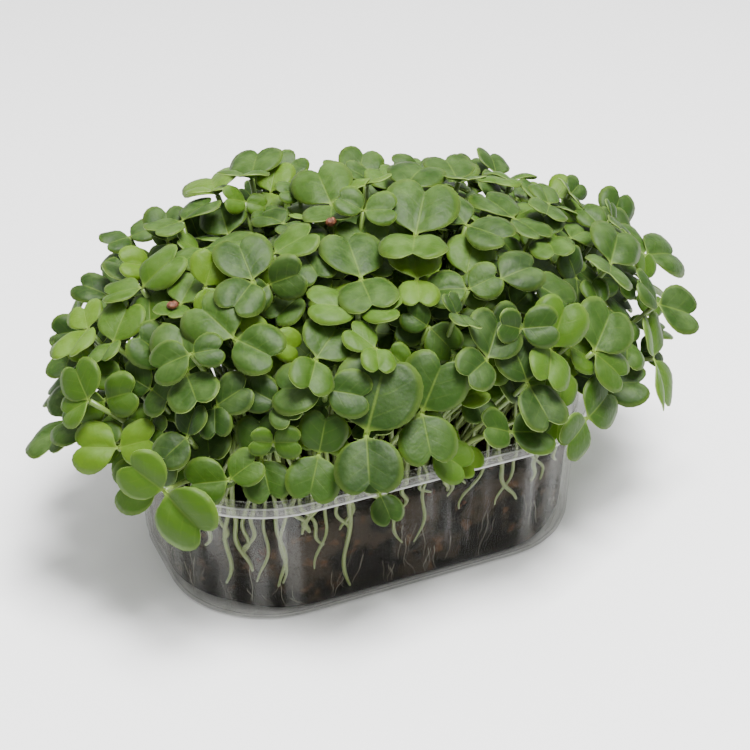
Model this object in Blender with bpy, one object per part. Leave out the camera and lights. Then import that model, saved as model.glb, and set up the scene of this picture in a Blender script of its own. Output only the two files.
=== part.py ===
"""A clear punnet of brassica seedlings: tray, soil, tufts of seedlings and two seed hulls.

Metres, +Z up. The origin is the middle of the tray's underside, +X runs along the
tray's long side and +Y to its back. The layout works in millimetres and the meshes are
made in metres.
"""

import math
import random

import bmesh
import bpy
from mathutils import Matrix, Vector
from mathutils.bvhtree import BVHTree

MM = 0.001
GAP = 0.3

# Tray
TRAY_HALF = (71.5, 47.5)
TRAY_CORNER = 37.4
TRAY_HEIGHT = 43.8
RIM_WIDTH = 3.6
RIM_SKIRT = 3.0
WALL = 0.7
DRAFT = 1.4
FOOT_FILLET = 2.0
CORNER_STEPS = 10
FLUTE_DEPTH = 0.35

# Soil
SOIL_TOP = 32.0
SOIL_INSET = 1.0
SOIL_CHAMFER = 4.0
SOIL_CORNER_STEPS = 5

# Tufts
TUFT_ROWS = (-33.0, -20.0, -6.6, 6.6, 20.0, 33.0)
TUFT_PITCH = 14.5
TUFT_MARGIN = 7.0
CROWN_RADIUS = 2.9
CROWN_SIDES = 6
CROWN_DEPTH = 9.0
CROWN_PROUD = 0.5
STEM_CIRCLE = 1.2
STEM_SUNK = 1.0

# Canopy: the stem tops lie near a low dome that is wider than the tray
DOME_HALF = (98.0, 67.0)
DOME_CENTRE = (8.0, 7.0)
DOME_RIM_Z = 60.0
DOME_TOP_Z = 102.0

# Seedlings
STEM_RADIUS = 1.05
BLADE_THICKNESS = 0.65
REACH_OVER_RIM = 14.0
RIM_CLEAR_Z = 52.0
LEAST_SPREAD = 118.0
CLEARANCE = 0.22
SEED = 20
MOST_PER_TUFT = 6
SHOWN_SCALE = 0.86
SKIRT_TRIES = 60
CANOPY_TRIES = 620
CANOPY_LIMIT = 116
UNDER_TRIES = 300
SEEDLING_LIMIT = 132

# Half a cotyledon's outline past its root, along and across, as shares of its length
HALF_OUTLINE = ((0.26, 0.40), (0.72, 0.58), (1.03, 0.32))
NOTCH_AT = 0.86

# Seedlings that the picture shows plainly: the stem top's place on the dome, its height
# above the dome, the length of the larger blade, and the headings of the two blades
DOME_SEEDLINGS = (
    (-84, -14, 2, 16, 80, 190),
    (-62, -27, 1, 18, 67, 260),
    (-48, -27, 2, 18, 107, 300),
    (-61, -29, 9, 13, 177, -13),
    (-72, -29, 0, 17, 22, 200),
    (-54, -37, 1, 15, 27, 217),
    (-59, -34, 0, 15, -3, 227),
    (-92, -5, -2, 15, 177, 30),
    (-63, 8, 2, 17, -3, 160),
    (-74, 2, 2, 18, 37, 230),
    (-76, -4, 0, 15, 7, 200),
    (-56, -6, 0, 14, 37, 220),
    (-42, 13, 1, 16, -33, 247),
    (-50, 2, 0, 15, -84, 120),
    (-37, -16, 2, 19, 77, 210),
    (-28, 42, 7, 20, 80, 250),
    (-18, 38, 8, 18, 57, 240),
    (-20, -8, 1, 17, 77, 270),
    (-9, -24, 1, 19, 82, 260),
    (-13, -32, 1, 18, 147, -40),
    (-10, -35, 1, 18, -8, 170),
    (6, -29, 1, 15, 72, 250),
    (12, -15, 3, 22, 57, 240),
    (-27, -38, 2, 20, 72, 267),
    (-3, -50, 0, 19, 17, 200),
    (-12, -44, 0, 14, 137, 267),
    (-28, -46, 0, 18, 147, -40),
    (-44, -44, 0, 13, 127, 277),
    (-36, -53, 4, 14, 47, 197),
    (15, -52, 0, 18, 52, 205),
    (38, -50, 0, 17, 72, 250),
    (53, -49, 0, 19, 67, -30),
    (28, -55, -2, 17, -80, 100),
    (30, -33, 1, 15, 7, 190),
    (47, -10, 2, 17, 107, 290),
    (55, -16, 2, 15, 247, 60),
    (72, -25, 1, 18, 60, 230),
    (96, -8, 0, 18, 7, 120),
    (88, -28, 0, 17, -23, 150),
    (20, 10, 4, 18, 40, 230),
    (40, 12, 4, 17, 80, 250),
    (62, 20, 2, 17, 60, 210),
)

# Seedlings that droop over the rim: stem top in millimetres, length of the larger blade,
# headings of the two blades, and how steeply their faces are turned to the side
RIM_SEEDLINGS = (
    (-22, -57, 69, 24, 62, 252, 50),
    (-5, -56, 71, 19, 62, 262, 50),
    (-76, -46, 59, 19, 247, 70, 72),
    (-73, -31, 51, 16, 165, 30, 60),
    (-48, -45, 61, 17, 247, 60, 60),
    (-58, -47, 58, 14, 165, 20, 50),
    (-64, -36, 57, 16, 200, 20, 50),
    (0, -55, 58, 18, -73, 90, 62),
    (47, -57, 56, 18, 247, 60, 70),
    (-34, -52, 63, 15, 240, 60, 60),
    (-26, -58, 63, 15, 250, 60, 60),
    (-75, -34, 62, 18, 42, 200, 45),
    (-82, -24, 61, 15, 150, -20, 42),
    (-88, -14, 60, 15, 120, 300, 45),
    (-68, -41, 64, 15, 200, 40, 45),
)

# Two seed hulls on leaves, by their place in plan
SEED_HULLS = ((-60, -9), (-9, -1))
HULL_RADIUS = 1.6
HULL_FLAT = 0.72


def rounded_ring(half_x, half_y, corner, z, steps, flute=0.0):
    """Points of a rounded rectangle, counter clockwise, with flutes in its corner arcs."""
    points = []
    centres = ((half_x - corner, half_y - corner, 0), (corner - half_x, half_y - corner, 90),
               (corner - half_x, corner - half_y, 180), (half_x - corner, corner - half_y, 270))
    for centre_x, centre_y, start in centres:
        for step in range(steps + 1):
            angle = math.radians(start + 90.0 * step / steps)
            wave = flute * (1.0 if step % 2 else -1.0) if 0 < step < steps else 0.0
            radius = corner + wave
            points.append(Vector((centre_x + radius * math.cos(angle),
                                  centre_y + radius * math.sin(angle), z)))
    return points


def clear_scene():
    """Remove the objects that the scene already holds."""
    for item in list(bpy.data.objects):
        bpy.data.objects.remove(item, do_unlink=True)


def make_material(name, colour, roughness, alpha=1.0):
    """A Principled material with a base colour, a roughness and an opacity."""
    material = bpy.data.materials.new(name)
    material.use_nodes = True
    shader = material.node_tree.nodes["Principled BSDF"]
    shader.inputs["Base Color"].default_value = (*colour, 1.0)
    shader.inputs["Roughness"].default_value = roughness
    shader.inputs["Metallic"].default_value = 0.0
    shader.inputs["Alpha"].default_value = alpha
    return material


def add_object(name, mesh, material, parent=None):
    """Link a new object for a mesh, with its material and its parent."""
    item = bpy.data.objects.new(name, mesh)
    bpy.context.scene.collection.objects.link(item)
    if material is not None:
        mesh.materials.clear()
        mesh.materials.append(material)
    item.parent = parent
    return item


def loft(mesh_data, rings):
    """Join rings of points in turn by quads, and close both ends with a face."""
    corners = [[mesh_data.verts.new(point * MM) for point in ring] for ring in rings]
    faces = []
    for low, high in zip(corners, corners[1:]):
        for index in range(len(low)):
            after = (index + 1) % len(low)
            faces.append(mesh_data.faces.new((low[index], low[after], high[after], high[index])))
    faces.append(mesh_data.faces.new(corners[0]))
    faces.append(mesh_data.faces.new(corners[-1]))
    bmesh.ops.recalc_face_normals(mesh_data, faces=faces)


def build_tray(material, parent):
    """The punnet: floor, drafted wall, flat rim and skirt, as one thin closed shell."""
    wall_top = (TRAY_HALF[0] - RIM_WIDTH, TRAY_HALF[1] - RIM_WIDTH)
    corner_top = TRAY_CORNER - RIM_WIDTH
    foot = (wall_top[0] - DRAFT, wall_top[1] - DRAFT)
    corner_foot = corner_top - DRAFT
    rim_under = TRAY_HEIGHT - WALL
    outer = (
        (foot, corner_foot, -FOOT_FILLET, 0.0, 0.0),
        (foot, corner_foot, -0.3 * FOOT_FILLET, 0.3 * FOOT_FILLET, 0.0),
        (foot, corner_foot, 0.0, FOOT_FILLET, FLUTE_DEPTH),
        (wall_top, corner_top, 0.0, rim_under - 4.0, FLUTE_DEPTH),
        (wall_top, corner_top, 0.0, rim_under, 0.0),
        (TRAY_HALF, TRAY_CORNER, -WALL, rim_under, 0.0),
        (TRAY_HALF, TRAY_CORNER, -WALL + 0.3, TRAY_HEIGHT - RIM_SKIRT, 0.0),
        (TRAY_HALF, TRAY_CORNER, 0.3, TRAY_HEIGHT - RIM_SKIRT, 0.0),
        (TRAY_HALF, TRAY_CORNER, 0.0, TRAY_HEIGHT - 0.6, 0.0),
        (TRAY_HALF, TRAY_CORNER, -0.6, TRAY_HEIGHT, 0.0),
    )
    inner = (
        (wall_top, corner_top, -WALL, TRAY_HEIGHT, 0.0),
        (wall_top, corner_top, -WALL, rim_under - 4.0, FLUTE_DEPTH),
        (foot, corner_foot, -WALL, FOOT_FILLET, FLUTE_DEPTH),
        (foot, corner_foot, -WALL - 0.3 * FOOT_FILLET, WALL + 0.3 * FOOT_FILLET, 0.0),
        (foot, corner_foot, -WALL - FOOT_FILLET, WALL, 0.0),
    )
    rings = [rounded_ring(half[0] + grow, half[1] + grow, corner + grow, z, CORNER_STEPS, flute)
             for half, corner, grow, z, flute in outer + inner]
    shell = bmesh.new()
    loft(shell, rings)
    mesh = bpy.data.meshes.new("tray")
    shell.to_mesh(mesh)
    shell.free()
    mesh.shade_smooth()
    mesh.set_sharp_from_angle(angle=math.radians(35.0))
    return add_object("tray", mesh, material, parent)


def soil_half():
    """Half length, half width and corner radius of the soil at its top."""
    inset = RIM_WIDTH + WALL + SOIL_INSET + DRAFT
    return TRAY_HALF[0] - inset, TRAY_HALF[1] - inset, TRAY_CORNER - inset


def inside_rounded(x, y, half_x, half_y, corner):
    """Whether a point lies inside a rounded rectangle."""
    over_x = max(abs(x) - (half_x - corner), 0.0)
    over_y = max(abs(y) - (half_y - corner), 0.0)
    return math.hypot(over_x, over_y) <= corner


def tuft_places():
    """Places of the tufts on the soil, in rows that are offset by half a pitch."""
    half_x, half_y, corner = soil_half()
    half_x, half_y, corner = (value - TUFT_MARGIN for value in (half_x, half_y, corner))
    places = []
    for row, y in enumerate(TUFT_ROWS):
        shift = 0.5 * TUFT_PITCH * (row % 2)
        for column in range(-5, 6):
            x = column * TUFT_PITCH + shift
            if inside_rounded(x, y, half_x, half_y, corner):
                places.append((x, y))
    return places


def prism(mesh_data, x, y, radius, low, high, sides):
    """An upright prism, closed at both ends."""
    rings = []
    for z in (low, high):
        rings.append([Vector((x + radius * math.cos(math.tau * side / sides),
                              y + radius * math.sin(math.tau * side / sides), z))
                      for side in range(sides)])
    loft(mesh_data, rings)


def build_soil(places, material, parent):
    """The soil block with a plain hole for each tuft."""
    half_x, half_y, corner = soil_half()
    low = WALL + GAP
    sections = ((-SOIL_CHAMFER, low), (-0.5, low + SOIL_CHAMFER), (0.0, SOIL_TOP - 1.5),
                (-1.2, SOIL_TOP))
    rings = [rounded_ring(half_x + grow, half_y + grow, corner + grow, z, SOIL_CORNER_STEPS)
             for grow, z in sections]
    block = bmesh.new()
    loft(block, rings)
    mesh = bpy.data.meshes.new("soil")
    block.to_mesh(mesh)
    block.free()
    soil = add_object("soil", mesh, material, parent)

    holes = bmesh.new()
    for x, y in places:
        prism(holes, x, y, CROWN_RADIUS + GAP, SOIL_TOP - CROWN_DEPTH - GAP, SOIL_TOP + 2.0,
              CROWN_SIDES)
    hole_mesh = bpy.data.meshes.new("soil_holes")
    holes.to_mesh(hole_mesh)
    holes.free()
    cutter = add_object("soil_holes", hole_mesh, None)
    cutter.hide_render = True
    cutter.display_type = "WIRE"
    cut = soil.modifiers.new("holes", "BOOLEAN")
    cut.operation = "DIFFERENCE"
    cut.object = cutter
    cut.solver = "EXACT"
    apply_modifiers(soil)
    bpy.data.objects.remove(cutter, do_unlink=True)
    return soil


def apply_modifiers(item):
    """Replace an object's mesh by its evaluated mesh and drop its modifiers."""
    bpy.context.view_layer.update()
    evaluated = item.evaluated_get(bpy.context.evaluated_depsgraph_get())
    mesh = bpy.data.meshes.new_from_object(evaluated)
    item.modifiers.clear()
    mesh.name = item.name
    item.data = mesh


def dome_height(x, y):
    """Height of the dome that the stem tops lie near."""
    reach = ((x - DOME_CENTRE[0]) / DOME_HALF[0]) ** 2 + ((y - DOME_CENTRE[1]) / DOME_HALF[1]) ** 2
    return DOME_RIM_Z + (DOME_TOP_Z - DOME_RIM_Z) * math.sqrt(max(0.0, 1.0 - reach))


def dome_normal(x, y, upright):
    """Direction out of the dome, blended with straight up."""
    rise = DOME_TOP_Z - DOME_RIM_Z
    height = (dome_height(x, y) - DOME_RIM_Z) / rise
    normal = Vector(((x - DOME_CENTRE[0]) / DOME_HALF[0] ** 2,
                     (y - DOME_CENTRE[1]) / DOME_HALF[1] ** 2, height / rise)).normalized()
    return (normal + Vector((0.0, 0.0, upright))).normalized()


class Blade:
    """One cotyledon: three axes from the stem top and a length."""

    def __init__(self, root, normal, heading, rise, roll, length, fold, arch):
        flat = Vector((math.cos(heading), math.sin(heading), 0.0))
        along = (flat - normal * flat.dot(normal)).normalized()
        across = normal.cross(along)
        along = Matrix.Rotation(-rise, 3, across) @ along
        across = Matrix.Rotation(roll, 3, along) @ across
        self.root = root
        self.along = along
        self.across = across
        self.out = along.cross(across)
        self.length = length
        self.fold = fold
        self.arch = arch

    def point(self, u, v, lift=0.0):
        """A point of the blade's surface, raised by a distance along its outward axis."""
        bend = self.fold * abs(v) - self.arch * u * u - 0.35 * v * v
        size = self.length
        return (self.root + self.along * (u * size) + self.across * (v * size)
                + self.out * (bend * size + lift))


class Seedling:
    """A stem and its two blades, which share one root edge at the stem top."""

    def __init__(self, top, base, normal, length, headings, draw):
        self.top = top
        spread = top - base
        away = Vector((spread.x, spread.y, 0.0))
        sway = Vector((draw.uniform(-1.5, 1.5), draw.uniform(-1.5, 1.5), 0.0))
        if away.length > REACH_OVER_RIM:
            knee = max(0.62 * spread.z, RIM_CLEAR_Z - base.z)
            self.path = [base, base + away * 0.14 + Vector((0.0, 0.0, 0.5 * knee)) + sway,
                         base + away * 0.52 + Vector((0.0, 0.0, knee)), top]
        else:
            self.path = [base, base + away * 0.36 + Vector((0.0, 0.0, 0.55 * spread.z)) + sway,
                         top]
        self.blades = []
        for order, heading in enumerate(headings):
            size = length * (1.0 if order == 0 else draw.uniform(0.76, 0.92))
            self.blades.append(Blade(
                top, normal, math.radians(heading), math.radians(draw.uniform(2.0, 30.0)),
                math.radians(draw.uniform(-10.0, 10.0)), size,
                draw.uniform(0.10, 0.34), draw.uniform(0.05, 0.25)))
        self.out = (self.blades[0].out + self.blades[1].out).normalized()
        line = (self.blades[0].along - self.blades[1].along).normalized()
        self.edge = self.out.cross(line).normalized() * STEM_RADIUS
        self.heel = line * STEM_RADIUS

    def sheet_points(self, lift):
        """The two roots and then each blade's notched outline, raised by a distance."""
        raised = self.top + self.out * lift
        points = [raised + self.edge, raised - self.edge]
        for blade in self.blades:
            points.append(blade.point(NOTCH_AT, 0.0, lift))
            for u, v in reversed(HALF_OUTLINE):
                points.append(blade.point(u, v, lift))
            for u, v in HALF_OUTLINE:
                points.append(blade.point(u, -v, lift))
        return points

    def fan(self, order):
        """A blade's notch and the corners round it, through the root edge."""
        side = len(HALF_OUTLINE)
        notch = 2 + order * (2 * side + 1)
        first = [notch + 1 + index for index in range(side)]
        last = [notch + 1 + side + index for index in range(side)]
        return notch, first, [order, 1 - order], last

    def sheet(self, low, high):
        """Points and faces of the closed pair of blades between two heights."""
        bottom = self.sheet_points(low)
        count = len(bottom)
        faces, border = [], []
        for order in range(2):
            notch, first, root, last = self.fan(order)
            ring = first + root + last
            faces += [(notch, ring[index], ring[index + 1]) for index in range(len(ring) - 1)]
            border += last + [notch] + first + [order]
        solid = [(a, c, b) for a, b, c in faces]
        solid += [(a + count, b + count, c + count) for a, b, c in faces]
        for index, corner in enumerate(border):
            after = border[(index + 1) % len(border)]
            solid.append((corner, after, after + count))
            solid.append((corner, after + count, corner + count))
        return bottom + self.sheet_points(high), solid

    def stem_rings(self, radius):
        """Three sided rings along the stem, turned to match the root of the blades."""
        shape = [self.edge, self.heel, -self.edge]
        shape = [corner * (radius / STEM_RADIUS) for corner in shape]
        middle = sum(shape, Vector()) / 3.0
        rings = []
        for index, point in enumerate(self.path[:-1]):
            before = self.path[max(index - 1, 0)]
            axis = (self.path[index + 1] - before).normalized()
            turn = self.out.rotation_difference(axis)
            rings.append([point + turn @ (corner - middle) for corner in shape])
        rings.append([self.top + corner for corner in shape])
        return rings

    def stem_faces(self, start, rings):
        """The sides of the stem between its rings, as triangles."""
        faces = []
        for step in range(rings - 1):
            low = start + step * 3
            for side in range(3):
                after = (side + 1) % 3
                faces.append((low + side, low + after, low + 3 + after))
                faces.append((low + side, low + 3 + after, low + 3 + side))
        return faces

    def solid(self):
        """Points and faces of the whole seedling, as one closed body."""
        points, faces = self.sheet(0.0, BLADE_THICKNESS)
        notch, _, root, _ = self.fan(0)
        faces.remove((notch, root[1], root[0]))
        start = len(points)
        rings = self.stem_rings(STEM_RADIUS)
        for ring in rings[:-1]:
            points.extend(ring)
        heel = len(points)
        points.append(rings[-1][1])
        faces += [(notch, root[1], heel), (notch, heel, root[0])]
        index_of = {heel + 1: heel, heel: root[0], heel + 2: root[1]}
        for face in self.stem_faces(start, len(rings)):
            faces.append(tuple(index_of.get(corner, corner) for corner in face))
        faces.append((start, start + 2, start + 1))
        return points, faces

    def sits_well(self):
        """Whether the stem meets the blades from below and stays out of them."""
        last = (self.path[-1] - self.path[-2]).normalized()
        if last.dot(self.out) < 0.3:
            return False
        points, faces = [], []
        rings = self.stem_rings(STEM_RADIUS)[:-1]
        for ring in rings:
            points.extend(ring)
        stem = BVHTree.FromPolygons(points, self.stem_faces(0, len(rings)))
        return not stem.overlap(self.blade_tree(0.1))

    def blade_tree(self, margin):
        """A search tree of both blades, thickened by a margin."""
        points, faces = self.sheet(-margin, BLADE_THICKNESS + margin)
        return BVHTree.FromPolygons(points, faces)

    def whole_tree(self, margin):
        """A search tree of the blades and the stem, thickened by a margin."""
        points, faces = self.sheet(-margin, BLADE_THICKNESS + margin)
        start = len(points)
        rings = self.stem_rings(STEM_RADIUS + margin)
        for ring in rings:
            points.extend(ring)
        faces += self.stem_faces(start, len(rings))
        return BVHTree.FromPolygons(points, faces)

    def box(self, margin):
        """Corners of the box that holds the seedling."""
        points = self.sheet_points(0.0) + self.path
        low = Vector([min(point[axis] for point in points) - margin for axis in range(3)])
        high = Vector([max(point[axis] for point in points) + margin for axis in range(3)])
        return low, high


def boxes_meet(first, second):
    """Whether two boxes overlap."""
    return all(first[0][axis] <= second[1][axis] and second[0][axis] <= first[1][axis]
               for axis in range(3))


class Planting:
    """Chooses the seedlings one after another, so that no tuft crosses another."""

    def __init__(self, places):
        self.draw = random.Random(SEED)
        self.places = places
        self.tufts = [[] for _ in places]
        self.kept = []
        self.rim = self.rim_tree()

    def rim_tree(self):
        """A search tree of the tray's wall and rim, with room to spare."""
        half = TRAY_HALF
        inner = RIM_WIDTH + WALL + 0.5
        sections = ((0.8, TRAY_HEIGHT - RIM_SKIRT - 0.6), (0.8, TRAY_HEIGHT + 0.6),
                    (-inner, TRAY_HEIGHT + 0.6), (-inner, SOIL_TOP - 5.0),
                    (-RIM_WIDTH + 0.6, SOIL_TOP - 5.0), (-RIM_WIDTH + 0.6, 38.0))
        points, faces = [], []
        for grow, z in sections:
            points.extend(rounded_ring(half[0] + grow, half[1] + grow, TRAY_CORNER + grow, z, 8))
        count = len(points) // len(sections)
        for step in range(len(sections) - 1):
            for index in range(count):
                after = (index + 1) % count
                faces.append((step * count + index, step * count + after,
                              (step + 1) * count + after, (step + 1) * count + index))
        return BVHTree.FromPolygons(points, faces)

    def nearest_tuft(self, top):
        """The tuft whose share of the canopy lies nearest, among those with room."""
        half_x, half_y, _ = soil_half()
        target_x = (top.x - DOME_CENTRE[0]) * (half_x - TUFT_MARGIN) / DOME_HALF[0]
        target_y = (top.y - DOME_CENTRE[1]) * (half_y - TUFT_MARGIN) / DOME_HALF[1]
        order = sorted(range(len(self.places)), key=lambda index: (
            (self.places[index][0] - target_x) ** 2 + (self.places[index][1] - target_y) ** 2))
        for index in order[:3]:
            if len(self.tufts[index]) < MOST_PER_TUFT:
                return index
        return None

    def attempt(self, top, normal, length, headings):
        """Keep a seedling if it crosses no other tuft and no blade of its own."""
        tuft = self.nearest_tuft(top)
        if tuft is None:
            return False
        x, y = self.places[tuft]
        turn = math.atan2(top.y - y, top.x - x)
        base = Vector((x + STEM_CIRCLE * math.cos(turn), y + STEM_CIRCLE * math.sin(turn),
                       SOIL_TOP - STEM_SUNK))
        seedling = Seedling(top, base, normal, length, headings, self.draw)
        if not seedling.sits_well():
            return False
        box = seedling.box(CLEARANCE + 1.5)
        whole = seedling.whole_tree(CLEARANCE)
        if whole.overlap(self.rim):
            return False
        blades = seedling.blade_tree(CLEARANCE)
        for other, other_tuft, other_box, other_whole, other_blades in self.kept:
            if not boxes_meet(box, other_box):
                continue
            if other_tuft == tuft:
                if blades.overlap(other_whole) or whole.overlap(other_blades):
                    return False
            elif whole.overlap(other_whole):
                return False
        self.kept.append((seedling, tuft, box, whole, blades))
        self.tufts[tuft].append(seedling)
        return True

    def settle(self, top, normal, length, headings, tries):
        """Try a seedling with small changes until it fits."""
        apart = (headings[1] - headings[0]) % 360.0
        apart = min(max(apart, LEAST_SPREAD), 360.0 - LEAST_SPREAD)
        headings = (headings[0], headings[0] + apart)
        for attempt in range(tries):
            loose = attempt / max(tries - 1, 1)
            shift = Vector((self.draw.uniform(-4.0, 4.0), self.draw.uniform(-4.0, 4.0),
                            self.draw.uniform(-6.0, 6.0))) * loose
            turn = self.draw.uniform(-35.0, 35.0) * loose
            size = length * (1.0 - 0.22 * loose)
            tilt = Vector((self.draw.uniform(-0.35, 0.35), self.draw.uniform(-0.35, 0.35),
                           0.0)) * loose
            if self.attempt(top + shift, (normal + tilt).normalized(), size,
                            [heading + turn for heading in headings]):
                return True
        return False

    def plant_shown(self):
        """Plant the seedlings that the picture shows plainly."""
        for x, y, z, length, first, second, steep in RIM_SEEDLINGS:
            away = Vector((x - DOME_CENTRE[0], (y - DOME_CENTRE[1]) * 1.6, 0.0)).normalized()
            face = math.radians(steep)
            normal = away * math.sin(face) + Vector((0.0, 0.0, math.cos(face)))
            self.settle(Vector((x, y, z)), normal, length * SHOWN_SCALE, (first, second), 14)
        for x, y, lift, length, first, second in DOME_SEEDLINGS:
            top = Vector((x, y, dome_height(x, y) + lift))
            self.settle(top, dome_normal(x, y, 0.25), length * SHOWN_SCALE, (first, second), 14)

    def plant_skirt(self):
        """Plant drooping seedlings along the dome's rim, wherever there is room."""
        for index in range(SKIRT_TRIES):
            angle = math.tau * (index + self.draw.uniform(-0.3, 0.3)) / SKIRT_TRIES
            reach = 0.90 if index % 2 else 0.99
            x = DOME_CENTRE[0] + DOME_HALF[0] * reach * math.cos(angle)
            y = DOME_CENTRE[1] + DOME_HALF[1] * reach * math.sin(angle)
            face = math.radians(self.draw.uniform(30.0, 62.0))
            normal = Vector((math.cos(angle), 1.4 * math.sin(angle), 0.0)).normalized()
            normal = normal * math.sin(face) + Vector((0.0, 0.0, math.cos(face)))
            heading = math.degrees(angle) + self.draw.uniform(-70.0, 70.0)
            self.settle(Vector((x, y, self.draw.uniform(53.0, 61.0))), normal,
                        self.draw.uniform(12.5, 16.0), (heading, heading + 180.0), 4)

    def plant_spiral(self, tries, limit, lift_range, length_range, upright, attempts):
        """Plant along a spiral over the dome, evenly by area, wherever there is room."""
        for index in range(tries):
            if len(self.kept) >= limit:
                return
            reach = math.sqrt((index + 0.5) / tries)
            angle = index * math.pi * (3.0 - math.sqrt(5.0))
            x = DOME_CENTRE[0] + DOME_HALF[0] * reach * math.cos(angle)
            y = DOME_CENTRE[1] + DOME_HALF[1] * reach * math.sin(angle)
            top = Vector((x, y, dome_height(x, y) + self.draw.uniform(*lift_range)))
            heading = self.draw.uniform(0.0, 360.0)
            pair = (heading, heading + 180.0 + self.draw.uniform(-30.0, 30.0))
            tilt = Vector((self.draw.uniform(-0.3, 0.3), self.draw.uniform(-0.45, 0.15), 0.0))
            normal = dome_normal(x, y, upright + (0.6 if y > 15.0 else 0.0)) + tilt
            self.settle(top, normal.normalized(), self.draw.uniform(*length_range), pair,
                        attempts)

    def seat_below(self, x, y):
        """The highest blade surface below a place, with its normal turned up."""
        start = Vector((x, y, DOME_TOP_Z + 60.0))
        best = None
        for seedling, _, box, _, _ in self.kept:
            if not (box[0].x < x < box[1].x and box[0].y < y < box[1].y):
                continue
            points, faces = seedling.sheet(0.0, BLADE_THICKNESS)
            spot, normal, _, _ = BVHTree.FromPolygons(points, faces).ray_cast(
                start, Vector((0.0, 0.0, -1.0)))
            if spot is not None and (best is None or spot.z > best[0].z):
                best = (spot, normal if normal.z > 0.0 else -normal)
        return best

    def plant(self):
        """Fill the whole canopy."""
        self.plant_shown()
        self.plant_skirt()
        self.plant_spiral(CANOPY_TRIES, CANOPY_LIMIT, (-4.0, 3.0), (12.5, 17.0), 0.3, 3)
        self.plant_spiral(UNDER_TRIES, SEEDLING_LIMIT, (-16.0, -7.0), (11.0, 15.0), 0.6, 3)


def build_piece(name, points, faces):
    """A hidden helper object from points and faces."""
    mesh = bpy.data.meshes.new(name)
    piece = bmesh.new()
    corners = [piece.verts.new(point * MM) for point in points]
    for face in faces:
        piece.faces.new([corners[index] for index in face])
    bmesh.ops.recalc_face_normals(piece, faces=piece.faces[:])
    piece.to_mesh(mesh)
    piece.free()
    return bpy.data.objects.new(name, mesh)


def build_tuft(name, place, seedlings, material, parent):
    """A crown with its stems and blades, fused into one body."""
    crown = bmesh.new()
    prism(crown, place[0], place[1], CROWN_RADIUS, SOIL_TOP - CROWN_DEPTH,
          SOIL_TOP + CROWN_PROUD, CROWN_SIDES)
    mesh = bpy.data.meshes.new(name)
    crown.to_mesh(mesh)
    crown.free()
    tuft = add_object(name, mesh, material, parent)

    pieces = bpy.data.collections.new(name + "_pieces")
    bpy.context.scene.collection.children.link(pieces)
    for order, seedling in enumerate(seedlings):
        pieces.objects.link(build_piece("%s_piece_%d" % (name, order), *seedling.solid()))
    union = tuft.modifiers.new("union", "BOOLEAN")
    union.operation = "UNION"
    union.operand_type = "COLLECTION"
    union.collection = pieces
    union.solver = "EXACT"
    apply_modifiers(tuft)
    for item in list(pieces.objects):
        bpy.data.objects.remove(item, do_unlink=True)
    bpy.data.collections.remove(pieces)
    tidy_body(tuft, material)
    return tuft


def tidy_body(item, material):
    """Merge doubles, drop slivers and loose scraps, and leave triangles."""
    body = bmesh.new()
    body.from_mesh(item.data)
    bmesh.ops.remove_doubles(body, verts=body.verts[:], dist=0.000001)
    bmesh.ops.triangulate(body, faces=body.faces[:])
    keep_largest(body)
    body.to_mesh(item.data)
    body.free()
    item.data.materials.clear()
    item.data.materials.append(material)


def keep_largest(body):
    """Drop every part of a mesh that isn't joined to its largest part."""
    body.verts.ensure_lookup_table()
    seen = set()
    groups = []
    for start in body.verts:
        if start in seen:
            continue
        group = []
        queue = [start]
        seen.add(start)
        while queue:
            corner = queue.pop()
            group.append(corner)
            for edge in corner.link_edges:
                other = edge.other_vert(corner)
                if other not in seen:
                    seen.add(other)
                    queue.append(other)
        groups.append(group)
    groups.sort(key=len, reverse=True)
    for group in groups[1:]:
        bmesh.ops.delete(body, geom=group, context="VERTS")


def build_hull(name, place, planting, material, parent):
    """A seed hull that rests on the first blade below its place."""
    seat = planting.seat_below(*place)
    if seat is None:
        return None
    spot, normal = seat
    turn = Vector((0.0, 0.0, 1.0)).rotation_difference(normal).to_matrix().to_4x4()
    body = bmesh.new()
    bmesh.ops.create_uvsphere(body, u_segments=8, v_segments=5, radius=HULL_RADIUS * MM)
    centre = spot + normal * (HULL_RADIUS * HULL_FLAT + GAP + 0.1)
    shape = (Matrix.Translation(centre * MM) @ turn
             @ Matrix.Diagonal((1.15, 0.95, HULL_FLAT, 1.0)))
    bmesh.ops.transform(body, matrix=shape, verts=body.verts[:])
    bmesh.ops.triangulate(body, faces=body.faces[:])
    mesh = bpy.data.meshes.new(name)
    body.to_mesh(mesh)
    body.free()
    mesh.shade_smooth()
    return add_object(name, mesh, material, parent)


def main():
    """Build the whole punnet."""
    clear_scene()
    plastic = make_material("clear_plastic", (0.82, 0.83, 0.82), 0.12, 0.3)
    earth = make_material("growing_medium", (0.060, 0.048, 0.038), 0.9)
    green = make_material("seedling_green", (0.20, 0.34, 0.09), 0.5)
    husk = make_material("seed_hull", (0.33, 0.10, 0.05), 0.6)
    origin = bpy.data.objects.new("punnet", None)
    bpy.context.scene.collection.objects.link(origin)

    planting = Planting(tuft_places())
    planting.plant()
    grown = [(place, seedlings) for place, seedlings in zip(planting.places, planting.tufts)
             if seedlings]
    build_tray(plastic, origin)
    build_soil([place for place, _ in grown], earth, origin)
    for number, (place, seedlings) in enumerate(grown, start=1):
        build_tuft("seedlings_%02d" % number, place, seedlings, green, origin)
    for number, place in enumerate(SEED_HULLS, start=1):
        build_hull("seed_hull_%02d" % number, place, planting, husk, origin)


main()
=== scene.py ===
"""Fine surfaces and finishes of a punnet of brassica seedlings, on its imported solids.

Each tuft's solid is replaced by leaves and stems with the same layout, the soil by a
grained block, and the tray by a smooth clear shell. Lengths are millimetres in the
layout and metres in the meshes.
"""

from __future__ import annotations

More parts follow.
